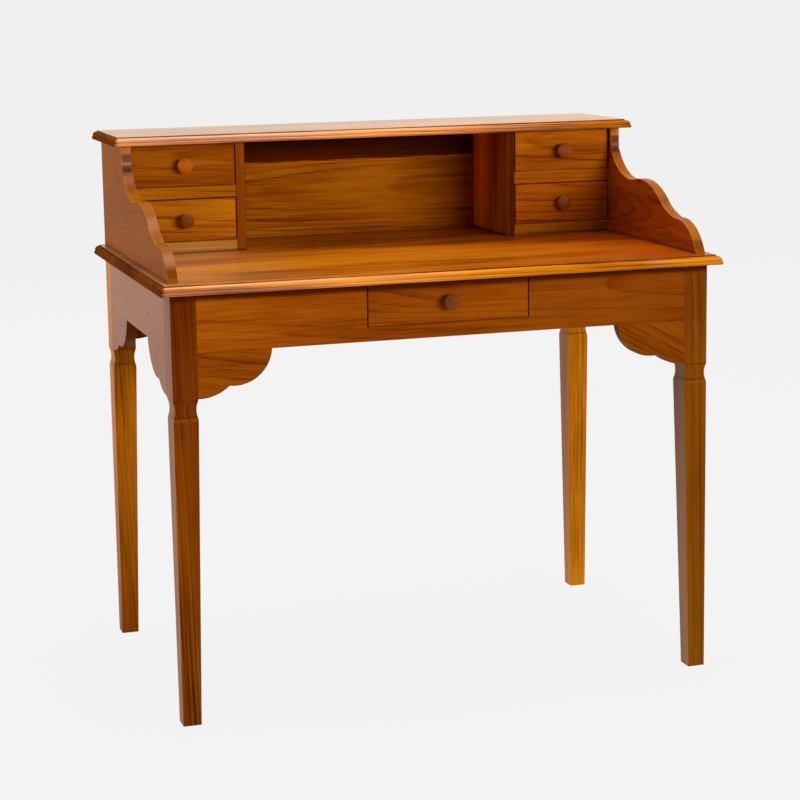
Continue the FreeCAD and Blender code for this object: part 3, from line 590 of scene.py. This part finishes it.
def wood_finish(name, colours, ring, gloss, knots=True, contrast=1.0):
    """Solid wood: rings round the heart of the tree, cut by the board's faces, varnished or sanded bare."""
    pale, usual, dark, line, scuff_and_sheen = colours
    made = bpy.data.materials.new(name)
    finish = Finish(made)
    grain = finish.read("grain")
    figure, dull, shine = finish.parts(finish.read("board"))
    arris = finish.read("arris", "Fac")
    end = finish.read("end_grain", "Fac")
    groove = finish.read("groove", "Fac")
    bloom = finish.read("bloom", "Fac")
    _, across, through = finish.parts(grain)

    # The rings: how far each point lay from the heart, in years
    wander = finish.noise(grain, WANDER)
    ripple = finish.noise(grain, RIPPLE)
    radius = (across * across + through * through) ** 0.5
    phase = (radius + wander * WANDER.strength + ripple * RIPPLE.strength) / ring
    knot = knot_field(finish) if knots else None
    if knots:
        phase = phase + knot * KNOT_PUSH
    number = finish.add("ShaderNodeMath", {"operation": "FLOOR"}, (phase,))
    year = finish.add("ShaderNodeTexWhiteNoise", {"noise_dimensions": "1D"}, {"W": number}, "Value")
    part = finish.add("ShaderNodeMath", {"operation": "FRACT"}, (phase,))
    band = finish.parts(finish.ramp(part, RING_SHADES))[0] * (year * (1 - FAINTEST_RING) + FAINTEST_RING)

    # Finer marks along the fibres
    cloud = finish.noise(grain, CLOUD)
    streak = finish.noise(grain, STREAK)
    thread = finish.noise(grain, THREAD)
    fibre = finish.noise(grain, FIBRE)
    pore = finish.noise(grain, PORE)

    # The colour: wood, scuffs, stain, pores, then pale and dark places (wear, painted highlights, painted
    # shade), painted sheen and knots
    marks = band * RING_STRENGTH - RING_EVEN + streak * STREAK.strength
    marks = marks + thread * THREAD.strength + cloud * CLOUD.strength
    shade = PLAIN_SHADE + marks * figure * contrast * (1 - end * END_CALM)
    shade = shade + fibre * FIBRE.strength + end * END_DARK
    colour = finish.ramp(shade, list(zip(SHADES, (pale, usual, dark, line))))
    scuff = finish.noise(grain, SCUFF)
    colour = finish.blend(scuff * SCUFF.strength, colour, opaque(scuff_and_sheen))
    colour = finish.stretch(colour, finish.read("stain"))
    colour = finish.blend(pore * PORE.strength, colour, opaque(line))
    patchy = finish.noise(grain, PATCHES)
    # Pale above zero: worn edges and painted highlights; dark below zero: painted shade and soiled apron
    # edges
    paling = arris - groove
    paled = finish.add("ShaderNodeMath", {"operation": "MAXIMUM"}, (paling, 0.0))
    darkened = finish.add("ShaderNodeMath", {"operation": "MAXIMUM"}, (0 - paling, 0.0))
    colour = finish.blend(paled * (patchy * PALE_MORE + PALE_LEAST), colour, opaque(pale))
    colour = finish.blend(darkened * (DARK_MOST - patchy * DARK_LESS), colour, opaque(line))
    # Painted sheen
    colour = finish.blend(bloom, colour, opaque(scuff_and_sheen))
    if knots:
        colour = finish.blend(finish.slope(knot, KNOT_CORE, 0.0, KNOT_DARK), colour, opaque(line))

    # The varnish
    sheen = gloss + dull + thread * THREAD.rough + scuff * SCUFF.rough + pore * PORE.rough
    sheen = sheen + paled * PALE_ROUGH + end * END_ROUGH
    height = fibre * FIBRE.relief - pore * PORE.relief - band * RING_RELIEF
    bump = finish.add("ShaderNodeBump", None, {
        "Strength": BUMP_STRENGTH, "Distance": BUMP_HEIGHT, "Height": height}, "Normal")
    shader = finish.add("ShaderNodeBsdfPrincipled", None, {
        "Base Color": colour, "Roughness": sheen, "Normal": bump, "Specular IOR Level": SPECULAR,
        "Coat Weight": shine + paled * PALE_SHINE, "Coat Roughness": COAT_ROUGHNESS})
    finish.add("ShaderNodeOutputMaterial", None, {"Surface": shader})
    return made


def material(context, name):
    """The named finish, made the first time that it is asked for."""
    made = bpy.data.materials.get(name)
    if made:
        return made
    look = context.scene.desk_finish
    if name == SANDED:
        colours = (look.lining_pale, look.lining_mid, look.lining_dark, look.russet, look.scuff_and_sheen)
        return wood_finish(name, colours, look.ring, look.sanded, knots=False, contrast=LINING_CONTRAST)
    colours = (look.honey, look.amber, look.russet, look.umber, look.scuff_and_sheen)
    return wood_finish(name, colours, look.ring, look.varnish)


# Shaping

def merged_copy(node):
    """A merged copy of a node's triangles, with its flat faces joined."""
    mesh = bmesh.new()
    mesh.from_mesh(frame["nodes"][node].data)
    bmesh.ops.remove_doubles(mesh, verts=mesh.verts, dist=MERGE)
    bmesh.ops.dissolve_limit(mesh, angle_limit=FLAT, verts=mesh.verts, edges=mesh.edges)
    return mesh


def ease_edges(mesh, radius, steps, paling):
    """Rounds the sharp outer edges and marks them pale above zero and dark below: wear on some boards,
    painted highlights and painted shade on others.
    """
    arris = mesh.faces.layers.float.new("arris")
    sharp = [e for e in mesh.edges if e.is_manifold and e.calc_face_angle_signed() > SHARP]
    eased = bmesh.ops.bevel(
        mesh, geom=sharp, offset=radius, offset_type="OFFSET", affect="EDGES", segments=steps,
        profile=0.5, material=-1, clamp_overlap=False)
    for face in eased["faces"]:
        face[arris] = paling


def cut(mesh, axis, distance):
    """Cuts the faces of a mesh along a plane across an axis, so that a finish can change there."""
    bmesh.ops.bisect_plane(
        mesh, geom=mesh.verts[:] + mesh.edges[:] + mesh.faces[:], dist=MERGE,
        plane_co=AXES[axis] * distance, plane_no=AXES[axis])


def paint_shading(mesh, levels, marked=None):
    """Darkens a mesh by height with painted shade: each level pairs a height with how dark it is there,
    painted pale below zero.
    """
    groove = mesh.verts.layers.float.get("groove") or mesh.verts.layers.float.new("groove")
    for height, _ in levels:
        cut(mesh, "Z", height)
    for v in mesh.verts:
        for (low, first), (high, second) in zip(levels, levels[1:]):
            if low - MERGE <= v.co.z <= high + MERGE and (marked is None or marked(v)):
                v[groove] = first + (second - first) * (v.co.z - low) / (high - low)


def shade_under(mesh, shape, lines=()):
    """Paints shade on the top of a board, under the overhanging desktop, and fine lines of painted shade
    lower down.
    """
    top = max(v.co.z for v in mesh.verts)
    levels = []
    for height in sorted(lines):
        levels += [(height - shape.shade_line, 0.0), (height, LINE_SHADE), (height + shape.shade_line, 0.0)]
    paint_shading(mesh, levels + [(top - shape.shade_depth, 0.0), (top, UNDER_SHADE)])


def highlight_shoulder(mesh, shape, height):
    """Paints a highlight on the shoulder under a neck, from its fine line of painted shade down to its lower
    end.
    """
    arris = mesh.faces.layers.float["arris"]
    for face in mesh.faces:
        if height - shape.shoulder < face.calc_center_median().z < height - shape.shade_line:
            face[arris] = SHOULDER_HIGHLIGHT


def on_scroll(v):
    """Whether a point of a gallery side lies on its scrolled edge, whose faces look forward or up."""
    return any(
        abs(face.normal.x) < SCROLL_ASIDE and face.normal.y < SCROLL_BACK and face.normal.z > -SCROLL_DOWN
        for face in v.link_faces)


def paint_scroll(mesh, shape, board):
    """Paints highlights and shade up the scrolled edge of a gallery side by height, stains it, and raises a
    bead below its ear, with painted sheen on the band there and a painted glint on the bead.
    """
    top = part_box("gallery_top")[0].z
    mesh.normal_update()
    paint_shading(mesh, [(top - drop, darkness) for drop, darkness in SCROLL_SHADING], on_scroll)
    finish = mesh.verts.layers.float_vector["board"]
    stain = mesh.verts.layers.float_vector["stain"]
    bloom = mesh.verts.layers.float.new("bloom")
    worn = stain_of(board._replace(tone=shape.scroll_tone, red=shape.scroll_red), 0.0)
    low, high = top - shape.ear_block - shape.ear_band, top - shape.ear_block
    for v in [v for v in mesh.verts if on_scroll(v)]:
        in_band = low < v.co.z < high
        v[finish] = (board.figure, board.dull, shape.ear_shine if in_band else shape.scroll_shine)
        v[stain] = worn
        if in_band:
            v[bloom] = board.bloom * BAND_SHEEN
        # A painted glint on the bead
        if abs(v.co.z - top + shape.ear_bead) < MERGE:
            v.co.y -= shape.ear_swell
            v[bloom] = board.bloom


def keep_half(mesh, axis, side):
    """Leaves the loose pieces of one side of the origin."""
    other = [v for v in mesh.verts if v.co.dot(AXES[axis]) * side < 0]
    bmesh.ops.delete(mesh, geom=other, context="VERTS")


def stain_of(board, length):
    """What the stain leaves of the red, green and blue of the wood, at a distance along the board, with light
    and shade painted into it on some boards.
    """
    tone, red = board.tone + board.fade * length, board.red + board.redden * length
    return [2 ** (tone - red * share) for share in RED_SHARES]


def saw(mesh, name, board):
    """Writes where each point lay in the tree, and how the board took the stain."""
    grain = mesh.verts.layers.float_vector.new("grain")
    stain = mesh.verts.layers.float_vector.new("stain")
    finish = mesh.verts.layers.float_vector.new("board")
    end = mesh.faces.layers.float.new("end_grain")
    low = Vector([min(v.co[i] for v in mesh.verts) for i in range(3)])
    high = Vector([max(v.co[i] for v in mesh.verts) for i in range(3)])
    middle = (low + high) / 2
    others = [AXES[axis] for axis in AXES if axis != board.grain]
    across, through = sorted(others, key=(high - low).dot, reverse=True)
    along = AXES[board.grain]
    turned = Matrix.Rotation(math.radians(board.turn), 3, through)
    along, across = turned @ along, turned @ across
    shift = random.Random(name).uniform(-LOG_REACH, LOG_REACH)
    for v in mesh.verts:
        offset = v.co - middle
        length = offset.dot(along)
        v[grain] = (length + shift, offset.dot(across) - board.heart[0],
                    offset.dot(through) - board.heart[1] + board.lean * length)
        v[stain] = stain_of(board, length)
        v[finish] = (board.figure, board.dull, board.shine)
    mesh.normal_update()
    for face in mesh.faces:
        face[end] = face.normal.dot(along) ** 2
    # Painted sheen from the left end, and a clear coat that thins towards the right
    if board.bloom and board.grain == "X":
        cut(mesh, "X", low.x + SHEEN_REACH)
        bloom = mesh.verts.layers.float.new("bloom")
        for v in mesh.verts:
            v[bloom] = board.bloom * max(0.0, 1 - (v.co.x - low.x) / SHEEN_REACH)
            v[finish].z *= 1 - COAT_LOSS * (v.co.x - low.x) / (high.x - low.x)
    # Painted sheen on the face that looks left
    if board.left_face_sheen:
        bloom = mesh.verts.layers.float.new("bloom")
        for v in {v for face in mesh.faces if face.normal.x < -FACING for v in face.verts}:
            v[bloom] = board.left_face_sheen
    # Painted shade on the front edge, with more of it on the face that looks forward
    if board.edge:
        front = {v for face in mesh.faces if face.normal.y < -FACING for v in face.verts}
        for v in mesh.verts:
            if v.co.y < low.y + EDGE_REACH:
                tone = board.edge * (FRONT_SHARE if v in front else 1.0)
                v[stain] = v[stain] * Vector([2 ** (tone * share) for share in EDGE_SHARES])


def bare_edges(mesh):
    """Leaves the clear coat on the face that looks left, and none on the edges and the inside."""
    finish = mesh.verts.layers.float_vector["board"]
    for v in mesh.verts:
        if not any(face.normal.x < -FACING for face in v.link_faces):
            v[finish].z = 0.0


def stain_moulding(mesh, board, thinning, run):
    """Colours a moulding: dark at its left end, then varnished with painted sheen, and bare of both at the
    right.
    """
    left = min(v.co.x for v in mesh.verts)
    top = max(v.co.z for v in mesh.verts) - MERGE
    middle = sum(v.co.y for v in mesh.verts) / len(mesh.verts)
    mitre, (thick, thin) = left + run, thinning
    for x in (mitre, thick, thin):
        cut(mesh, "X", x)
    stain = mesh.verts.layers.float_vector["stain"]
    finish = mesh.verts.layers.float_vector["board"]
    bloom = mesh.verts.layers.float.get("bloom") or mesh.verts.layers.float.new("bloom")
    groove = mesh.verts.layers.float["groove"]
    for v in mesh.verts:
        if v.co.z < top:
            front = v.co.y < middle and v.co.x > mitre - MERGE
            share = min(1.0, max(0.0, (thin - v.co.x) / (thin - thick)))
            shown = board if front or v.co.x > 0 else SIDE_MOULDING
            v[stain] = stain_of(shown, v.co.x)
            v[finish] = (shown.figure, shown.dull, board.shine * share if front else 0.0)
            v[bloom] = board.bloom * share * max(0.0, 1 - v[groove]) if front else 0.0


def place_piece(context, mesh, name, node, finish):
    """Makes the mesh a piece that stands for a node of the frame and rides on its body."""
    data = bpy.data.meshes.new(name)
    mesh.to_mesh(data)
    mesh.free()
    data.shade_smooth()
    data.materials.append(material(context, finish))
    piece = bpy.data.objects.new(name, data)
    context.scene.collection.objects.link(piece)
    even = piece.modifiers.new("even_shading", "WEIGHTED_NORMAL")
    even.keep_sharp = True
    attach(piece, frame["nodes"][node]["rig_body"])
    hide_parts(node)


def place_board(context, node, board, finish, radius, paling=LINING_WEAR, overhung=False):
    """Makes one flat board with eased edges, with painted shade at its top where another board overhangs it.
    """
    shape = context.scene.desk_shape
    mesh = merged_copy(node)
    ease_edges(mesh, radius, shape.ease_steps, paling)
    if node in LEGS:
        top = max(v.co.z for v in mesh.verts)
        # Painted shade under the desktop and in fine lines at the neck, and a painted highlight on the
        # shoulder
        shade_under(mesh, shape, (top - shape.neck_top, top - shape.neck_low))
        highlight_shoulder(mesh, shape, top - shape.neck_low)
    elif overhung:
        # Painted shade under the overhanging board
        shade_under(mesh, shape)
    elif node in GALLERY:
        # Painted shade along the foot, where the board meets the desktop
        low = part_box("desktop")[1].z
        paint_shading(mesh, [(low + lines * shape.shade_line, darkness) for lines, darkness in FOOT_SHADE])
    saw(mesh, node, board)
    if node in APRONS:
        bare_edges(mesh)
    if node.endswith("gallery_side"):
        paint_scroll(mesh, shape, board)
    place_piece(context, mesh, node + "_board", node, finish)


def moulding_profile(shape, thickness):
    """From the underside up: how far in and how high each line of the moulding lies, and how much painted
    shade it has.
    """
    lip, bead, swell, quirk = shape.bead_lip, shape.bead_height, shape.bead_swell, shape.quirk
    points = []
    for step in range(BEAD_STEPS + 1):
        turn = math.pi * step / BEAD_STEPS
        darkness = BEAD_SHADE if step <= BEAD_STEPS / 2 else 0.0
        points.append((swell * (1 - math.sin(turn)), bead * (1 - math.cos(turn)) / 2, darkness))
    points.append((lip + quirk, bead + quirk / 2, QUIRK_SHADE))
    foot = bead + quirk
    top = thickness - shape.mould_step
    run = shape.mould_run - quirk
    for step in range(shape.mould_steps + 1):
        turn = math.pi / 2 * step / shape.mould_steps
        points.append((lip + (run - lip) * (1 - math.cos(turn)), foot + (top - foot) * math.sin(turn), 0.0))
    edge = shape.mould_step * LIP_SHARE
    points.append((shape.mould_run - quirk / 2, top - quirk, STEP_SHADE))
    points.append((shape.mould_run, top, STEP_SHADE))
    points.append((shape.mould_run, thickness - edge, LIP_SHADE))
    points.append((shape.mould_run + edge, thickness, 0.0))
    return points


def moulded_mesh(node, shape):
    """A board with a moulded front and sides and a square back: its underside drawn up line by line."""
    low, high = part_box(node)

    def corner(place, inset, height):
        right = place.x > (low.x + high.x) / 2
        back = place.y > (low.y + high.y) / 2
        x = high.x - inset if right else low.x + inset
        return Vector((x, high.y if back else low.y + inset, low.z + height))

    mesh = bmesh.new()
    groove = mesh.verts.layers.float.new("groove")
    lines = moulding_profile(shape, high.z - low.z)
    corners = ((low.x, low.y), (low.x, high.y), (high.x, high.y), (high.x, low.y))
    inset, height, _ = lines[0]
    face = mesh.faces.new([mesh.verts.new(corner(Vector((x, y, 0)), inset, height)) for x, y in corners])
    for line in lines[1:]:
        inset, height, darkness = line
        drawn = bmesh.ops.extrude_face_region(mesh, geom=[face])["geom"]
        for v in drawn:
            if isinstance(v, bmesh.types.BMVert):
                v.co = corner(v.co, inset, height)
                # Painted shade on the lines of the moulding
                v[groove] = darkness
        if face.is_valid and line is not lines[1]:
            bmesh.ops.delete(mesh, geom=[face], context="FACES_ONLY")
        face = [f for f in drawn if isinstance(f, bmesh.types.BMFace)][0]
    bmesh.ops.recalc_face_normals(mesh, faces=mesh.faces)
    return mesh


def knob_mesh(drawer, shape):
    """A turned mushroom knob: a waisted neck, a rounded rim and a low dome, spun about its axis."""
    low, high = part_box(f"{drawer}_drawer_knob")
    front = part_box(f"{drawer}_drawer_front")[0].y
    axis = Vector(((low.x + high.x) / 2, front, (low.z + high.z) / 2))
    reach, rim = shape.knob_reach, shape.knob_radius
    mesh = bmesh.new()
    points = [mesh.verts.new(axis + Vector((rim * width, -reach * out, 0))) for out, width in KNOB_OUTLINE]
    edges = [mesh.edges.new(pair) for pair in zip(points, points[1:])]
    bmesh.ops.spin(
        mesh, geom=points + edges, cent=axis, axis=(0, 1, 0), angle=2 * math.pi,
        steps=shape.knob_turns, use_merge=True, use_duplicate=False)
    bmesh.ops.remove_doubles(mesh, verts=mesh.verts, dist=MERGE)
    bmesh.ops.holes_fill(mesh, edges=[e for e in mesh.edges if e.is_boundary], sides=0)
    bmesh.ops.recalc_face_normals(mesh, faces=mesh.faces)
    groove = mesh.verts.layers.float.new("groove")
    for v in mesh.verts:
        # Painted shade on the knob's neck
        v[groove] = NECK_SHADE if front - v.co.y < reach * KNOB_NECK else 0.0
    return mesh


# Operators, one for each group of pieces

class DESK_OT_legs(bpy.types.Operator):
    """Eases and varnishes the four legs"""
    bl_idname = "desk.legs"
    bl_label = "Legs"

    def execute(self, context):
        radius = context.scene.desk_shape.ease
        for node, board in LEGS.items():
            place_board(context, node, board, VARNISHED, radius, LEG_WEAR, overhung=True)
        return {"FINISHED"}


class DESK_OT_aprons(bpy.types.Operator):
    """Eases and varnishes the aprons and their scrolled brackets"""
    bl_idname = "desk.aprons"
    bl_label = "Aprons and brackets"

    def execute(self, context):
        shape = context.scene.desk_shape
        for node, board in APRONS.items():
            place_board(
                context, node, board, VARNISHED, shape.small_ease, APRON_WEAR, overhung=True)
        for node, (axis, lower, higher) in BRACKETS.items():
            for side, board in ((-1, lower), (1, higher)):
                mesh = merged_copy(node)
                keep_half(mesh, axis, side)
                ease_edges(mesh, shape.small_ease, shape.ease_steps, BRACKET_WEAR)
                name = f"{node[:-1]}_{'lower' if side < 0 else 'higher'}"
                saw(mesh, name, board)
                bare_edges(mesh)
                place_piece(context, mesh, name, node, VARNISHED)
        return {"FINISHED"}


class DESK_OT_moulded_boards(bpy.types.Operator):
    """Draws up the desktop and the gallery top with their moulded edges"""
    bl_idname = "desk.moulded_boards"
    bl_label = "Moulded boards"

    def execute(self, context):
        shape = context.scene.desk_shape
        for node, board in MOULDED.items():
            mesh = moulded_mesh(node, shape)
            saw(mesh, node, board)
            stain_moulding(mesh, MOULDINGS[node], THINNING[node], shape.mould_run)
            place_piece(context, mesh, node + "_board", node, VARNISHED)
        return {"FINISHED"}


class DESK_OT_gallery(bpy.types.Operator):
    """Eases and varnishes the gallery's sides, back, dividers and rails"""
    bl_idname = "desk.gallery"
    bl_label = "Gallery"

    def execute(self, context):
        shape = context.scene.desk_shape
        for node, board in GALLERY.items():
            radius = shape.seam_ease if node.endswith("back_board") else shape.ease
            paling = GALLERY_EDGE_SHADING.get(node, OTHER_GALLERY_HIGHLIGHT)
            place_board(context, node, board, VARNISHED, radius, paling)
        return {"FINISHED"}


class DESK_OT_drawers(bpy.types.Operator):
    """Eases the drawers: varnished fronts and bare linings"""
    bl_idname = "desk.drawers"
    bl_label = "Drawers"

    def execute(self, context):
        shape = context.scene.desk_shape
        for drawer in DRAWERS:
            place_board(
                context, f"{drawer}_drawer_front", FRONTS[drawer], VARNISHED, shape.ease,
                FRONT_EDGE_SHADE, overhung=drawer == "centre")
            for part, board in LININGS.items():
                place_board(
                    context, f"{drawer}_drawer_{part}", board, SANDED, shape.small_ease)
        return {"FINISHED"}


class DESK_OT_knobs(bpy.types.Operator):
    """Turns the five knobs"""
    bl_idname = "desk.knobs"
    bl_label = "Knobs"

    def execute(self, context):
        for drawer, board in KNOBS.items():
            node = f"{drawer}_drawer_knob"
            mesh = knob_mesh(drawer, context.scene.desk_shape)
            saw(mesh, node, board)
            place_piece(context, mesh, node + "_turned", node, VARNISHED)
        return {"FINISHED"}


class DESK_OT_inner_work(bpy.types.Operator):
    """Finishes the runners, stops and glue blocks inside"""
    bl_idname = "desk.inner_work"
    bl_label = "Inner work"

    def execute(self, context):
        for node, board in INNER.items():
            place_board(context, node, board, SANDED, context.scene.desk_shape.small_ease)
        return {"FINISHED"}


def seen_ray(finish):
    """One for rays that show the backdrop: straight, mirrored or through glass."""
    light = finish.add("ShaderNodeLightPath", None, (), "Is Camera Ray")
    outputs = light.socket.node.outputs
    glossy, through = Field(finish, outputs["Is Glossy Ray"]), Field(finish, outputs["Is Transmission Ray"])
    return finish.add("ShaderNodeMath", {"operation": "MINIMUM"}, (light + glossy + through, 1.0))


def soft_light(context, name, place, size, power, mirrored):
    """A soft lamp that looks at the desk and that the camera doesn't see."""
    data = bpy.data.lights.new(name, "AREA")
    data.shape = "RECTANGLE"
    data.size, data.size_y = size
    data.energy = power
    lamp = bpy.data.objects.new(name, data)
    lamp.location = place
    lamp.rotation_euler = (Vector(LIT_POINT) - Vector(place)).to_track_quat("-Z", "Y").to_euler()
    lamp.visible_camera = False
    lamp.visible_glossy = mirrored
    context.scene.collection.objects.link(lamp)


class DESK_OT_stage(bpy.types.Operator):
    """Sets up the floor, the light and the camera"""
    bl_idname = "desk.stage"
    bl_label = "Studio"

    def execute(self, context):
        stage = context.scene.desk_stage
        self.floor(context, stage)
        self.surroundings(context, stage)
        for name, place, size, power, mirrored in LAMPS:
            soft_light(context, name, place, size, getattr(stage, power), mirrored)
        self.camera(context, stage)
        context.scene.view_settings.view_transform = "Standard"
        return {"FINISHED"}

    def floor(self, context, stage):
        mesh = bmesh.new()
        bmesh.ops.create_grid(mesh, x_segments=1, y_segments=1, size=FLOOR_HALF)
        data = bpy.data.meshes.new("studio_floor")
        mesh.to_mesh(data)
        mesh.free()
        floor = bpy.data.objects.new("studio_floor", data)
        context.scene.collection.objects.link(floor)
        made = bpy.data.materials.new("studio_floor")
        finish = Finish(made)
        lit = finish.add("ShaderNodeBsdfDiffuse", None, {"Color": opaque(FLOOR_GREY)})
        glow = finish.add("ShaderNodeEmission", None, {
            "Color": opaque(stage.backdrop), "Strength": FLOOR_GLOW})
        mix = finish.add("ShaderNodeMixShader", None, (seen_ray(finish) * FLOOR_SHARE, lit, glow))
        finish.add("ShaderNodeOutputMaterial", None, {"Surface": mix})
        data.materials.append(made)

    def surroundings(self, context, stage):
        world = bpy.data.worlds.new("studio")
        context.scene.world = world
        finish = Finish(world)
        light = finish.add("ShaderNodeBackground", None, {"Color": opaque(WHITE), "Strength": stage.fill})
        seen = finish.add("ShaderNodeBackground", None, {"Color": opaque(stage.backdrop)})
        mix = finish.add("ShaderNodeMixShader", None, (seen_ray(finish), light, seen))
        finish.add("ShaderNodeOutputWorld", None, {"Surface": mix})

    def camera(self, context, stage):
        turn, tilt, roll = stage.camera_turn, stage.camera_tilt, stage.camera_roll
        ahead = Vector((math.sin(turn) * math.cos(tilt), math.cos(turn) * math.cos(tilt), -math.sin(tilt)))
        right = Vector((math.cos(turn), -math.sin(turn), 0))
        up = right.cross(ahead)
        leaned = Matrix((right, up, -ahead)).transposed() @ Matrix.Rotation(roll, 3, "Z")
        data = bpy.data.cameras.new("camera")
        data.sensor_width = SENSOR
        data.lens = stage.focal_pixels / IMAGE_SIDE * SENSOR
        data.shift_y = stage.picture_shift
        camera = bpy.data.objects.new("camera", data)
        camera.matrix_world = Matrix.Translation(stage.camera_place) @ leaned.to_4x4()
        context.scene.collection.objects.link(camera)
        context.scene.camera = camera


class DESK_PT_panel(bpy.types.Panel):
    """The desk's steps and settings"""
    bl_idname = "DESK_PT_panel"
    bl_label = "Writing desk"
    bl_space_type = "VIEW_3D"
    bl_region_type = "UI"
    bl_category = "Desk"

    def draw(self, context):
        for operator in OPERATORS:
            self.layout.operator(operator.bl_idname)
        for group in (context.scene.desk_shape, context.scene.desk_finish, context.scene.desk_stage):
            column = self.layout.box().column()
            for name in group.__annotations__:
                column.prop(group, name)


OPERATORS = (
    DESK_OT_legs, DESK_OT_aprons, DESK_OT_moulded_boards, DESK_OT_gallery, DESK_OT_drawers, DESK_OT_knobs,
    DESK_OT_inner_work, DESK_OT_stage)
CLASSES = (DeskShape, DeskFinish, DeskStage, *OPERATORS, DESK_PT_panel)


def register():
    for each in CLASSES:
        bpy.utils.register_class(each)
    bpy.types.Scene.desk_shape = PointerProperty(type=DeskShape)
    bpy.types.Scene.desk_finish = PointerProperty(type=DeskFinish)
    bpy.types.Scene.desk_stage = PointerProperty(type=DeskStage)


def unregister():
    del bpy.types.Scene.desk_stage
    del bpy.types.Scene.desk_finish
    del bpy.types.Scene.desk_shape
    for each in reversed(CLASSES):
        bpy.utils.unregister_class(each)


def main():
    register()
    bpy.ops.desk.legs()
    bpy.ops.desk.aprons()
    bpy.ops.desk.moulded_boards()
    bpy.ops.desk.gallery()
    bpy.ops.desk.drawers()
    bpy.ops.desk.knobs()
    bpy.ops.desk.inner_work()
    bpy.ops.desk.stage()


if __name__ == "__main__":
    main()
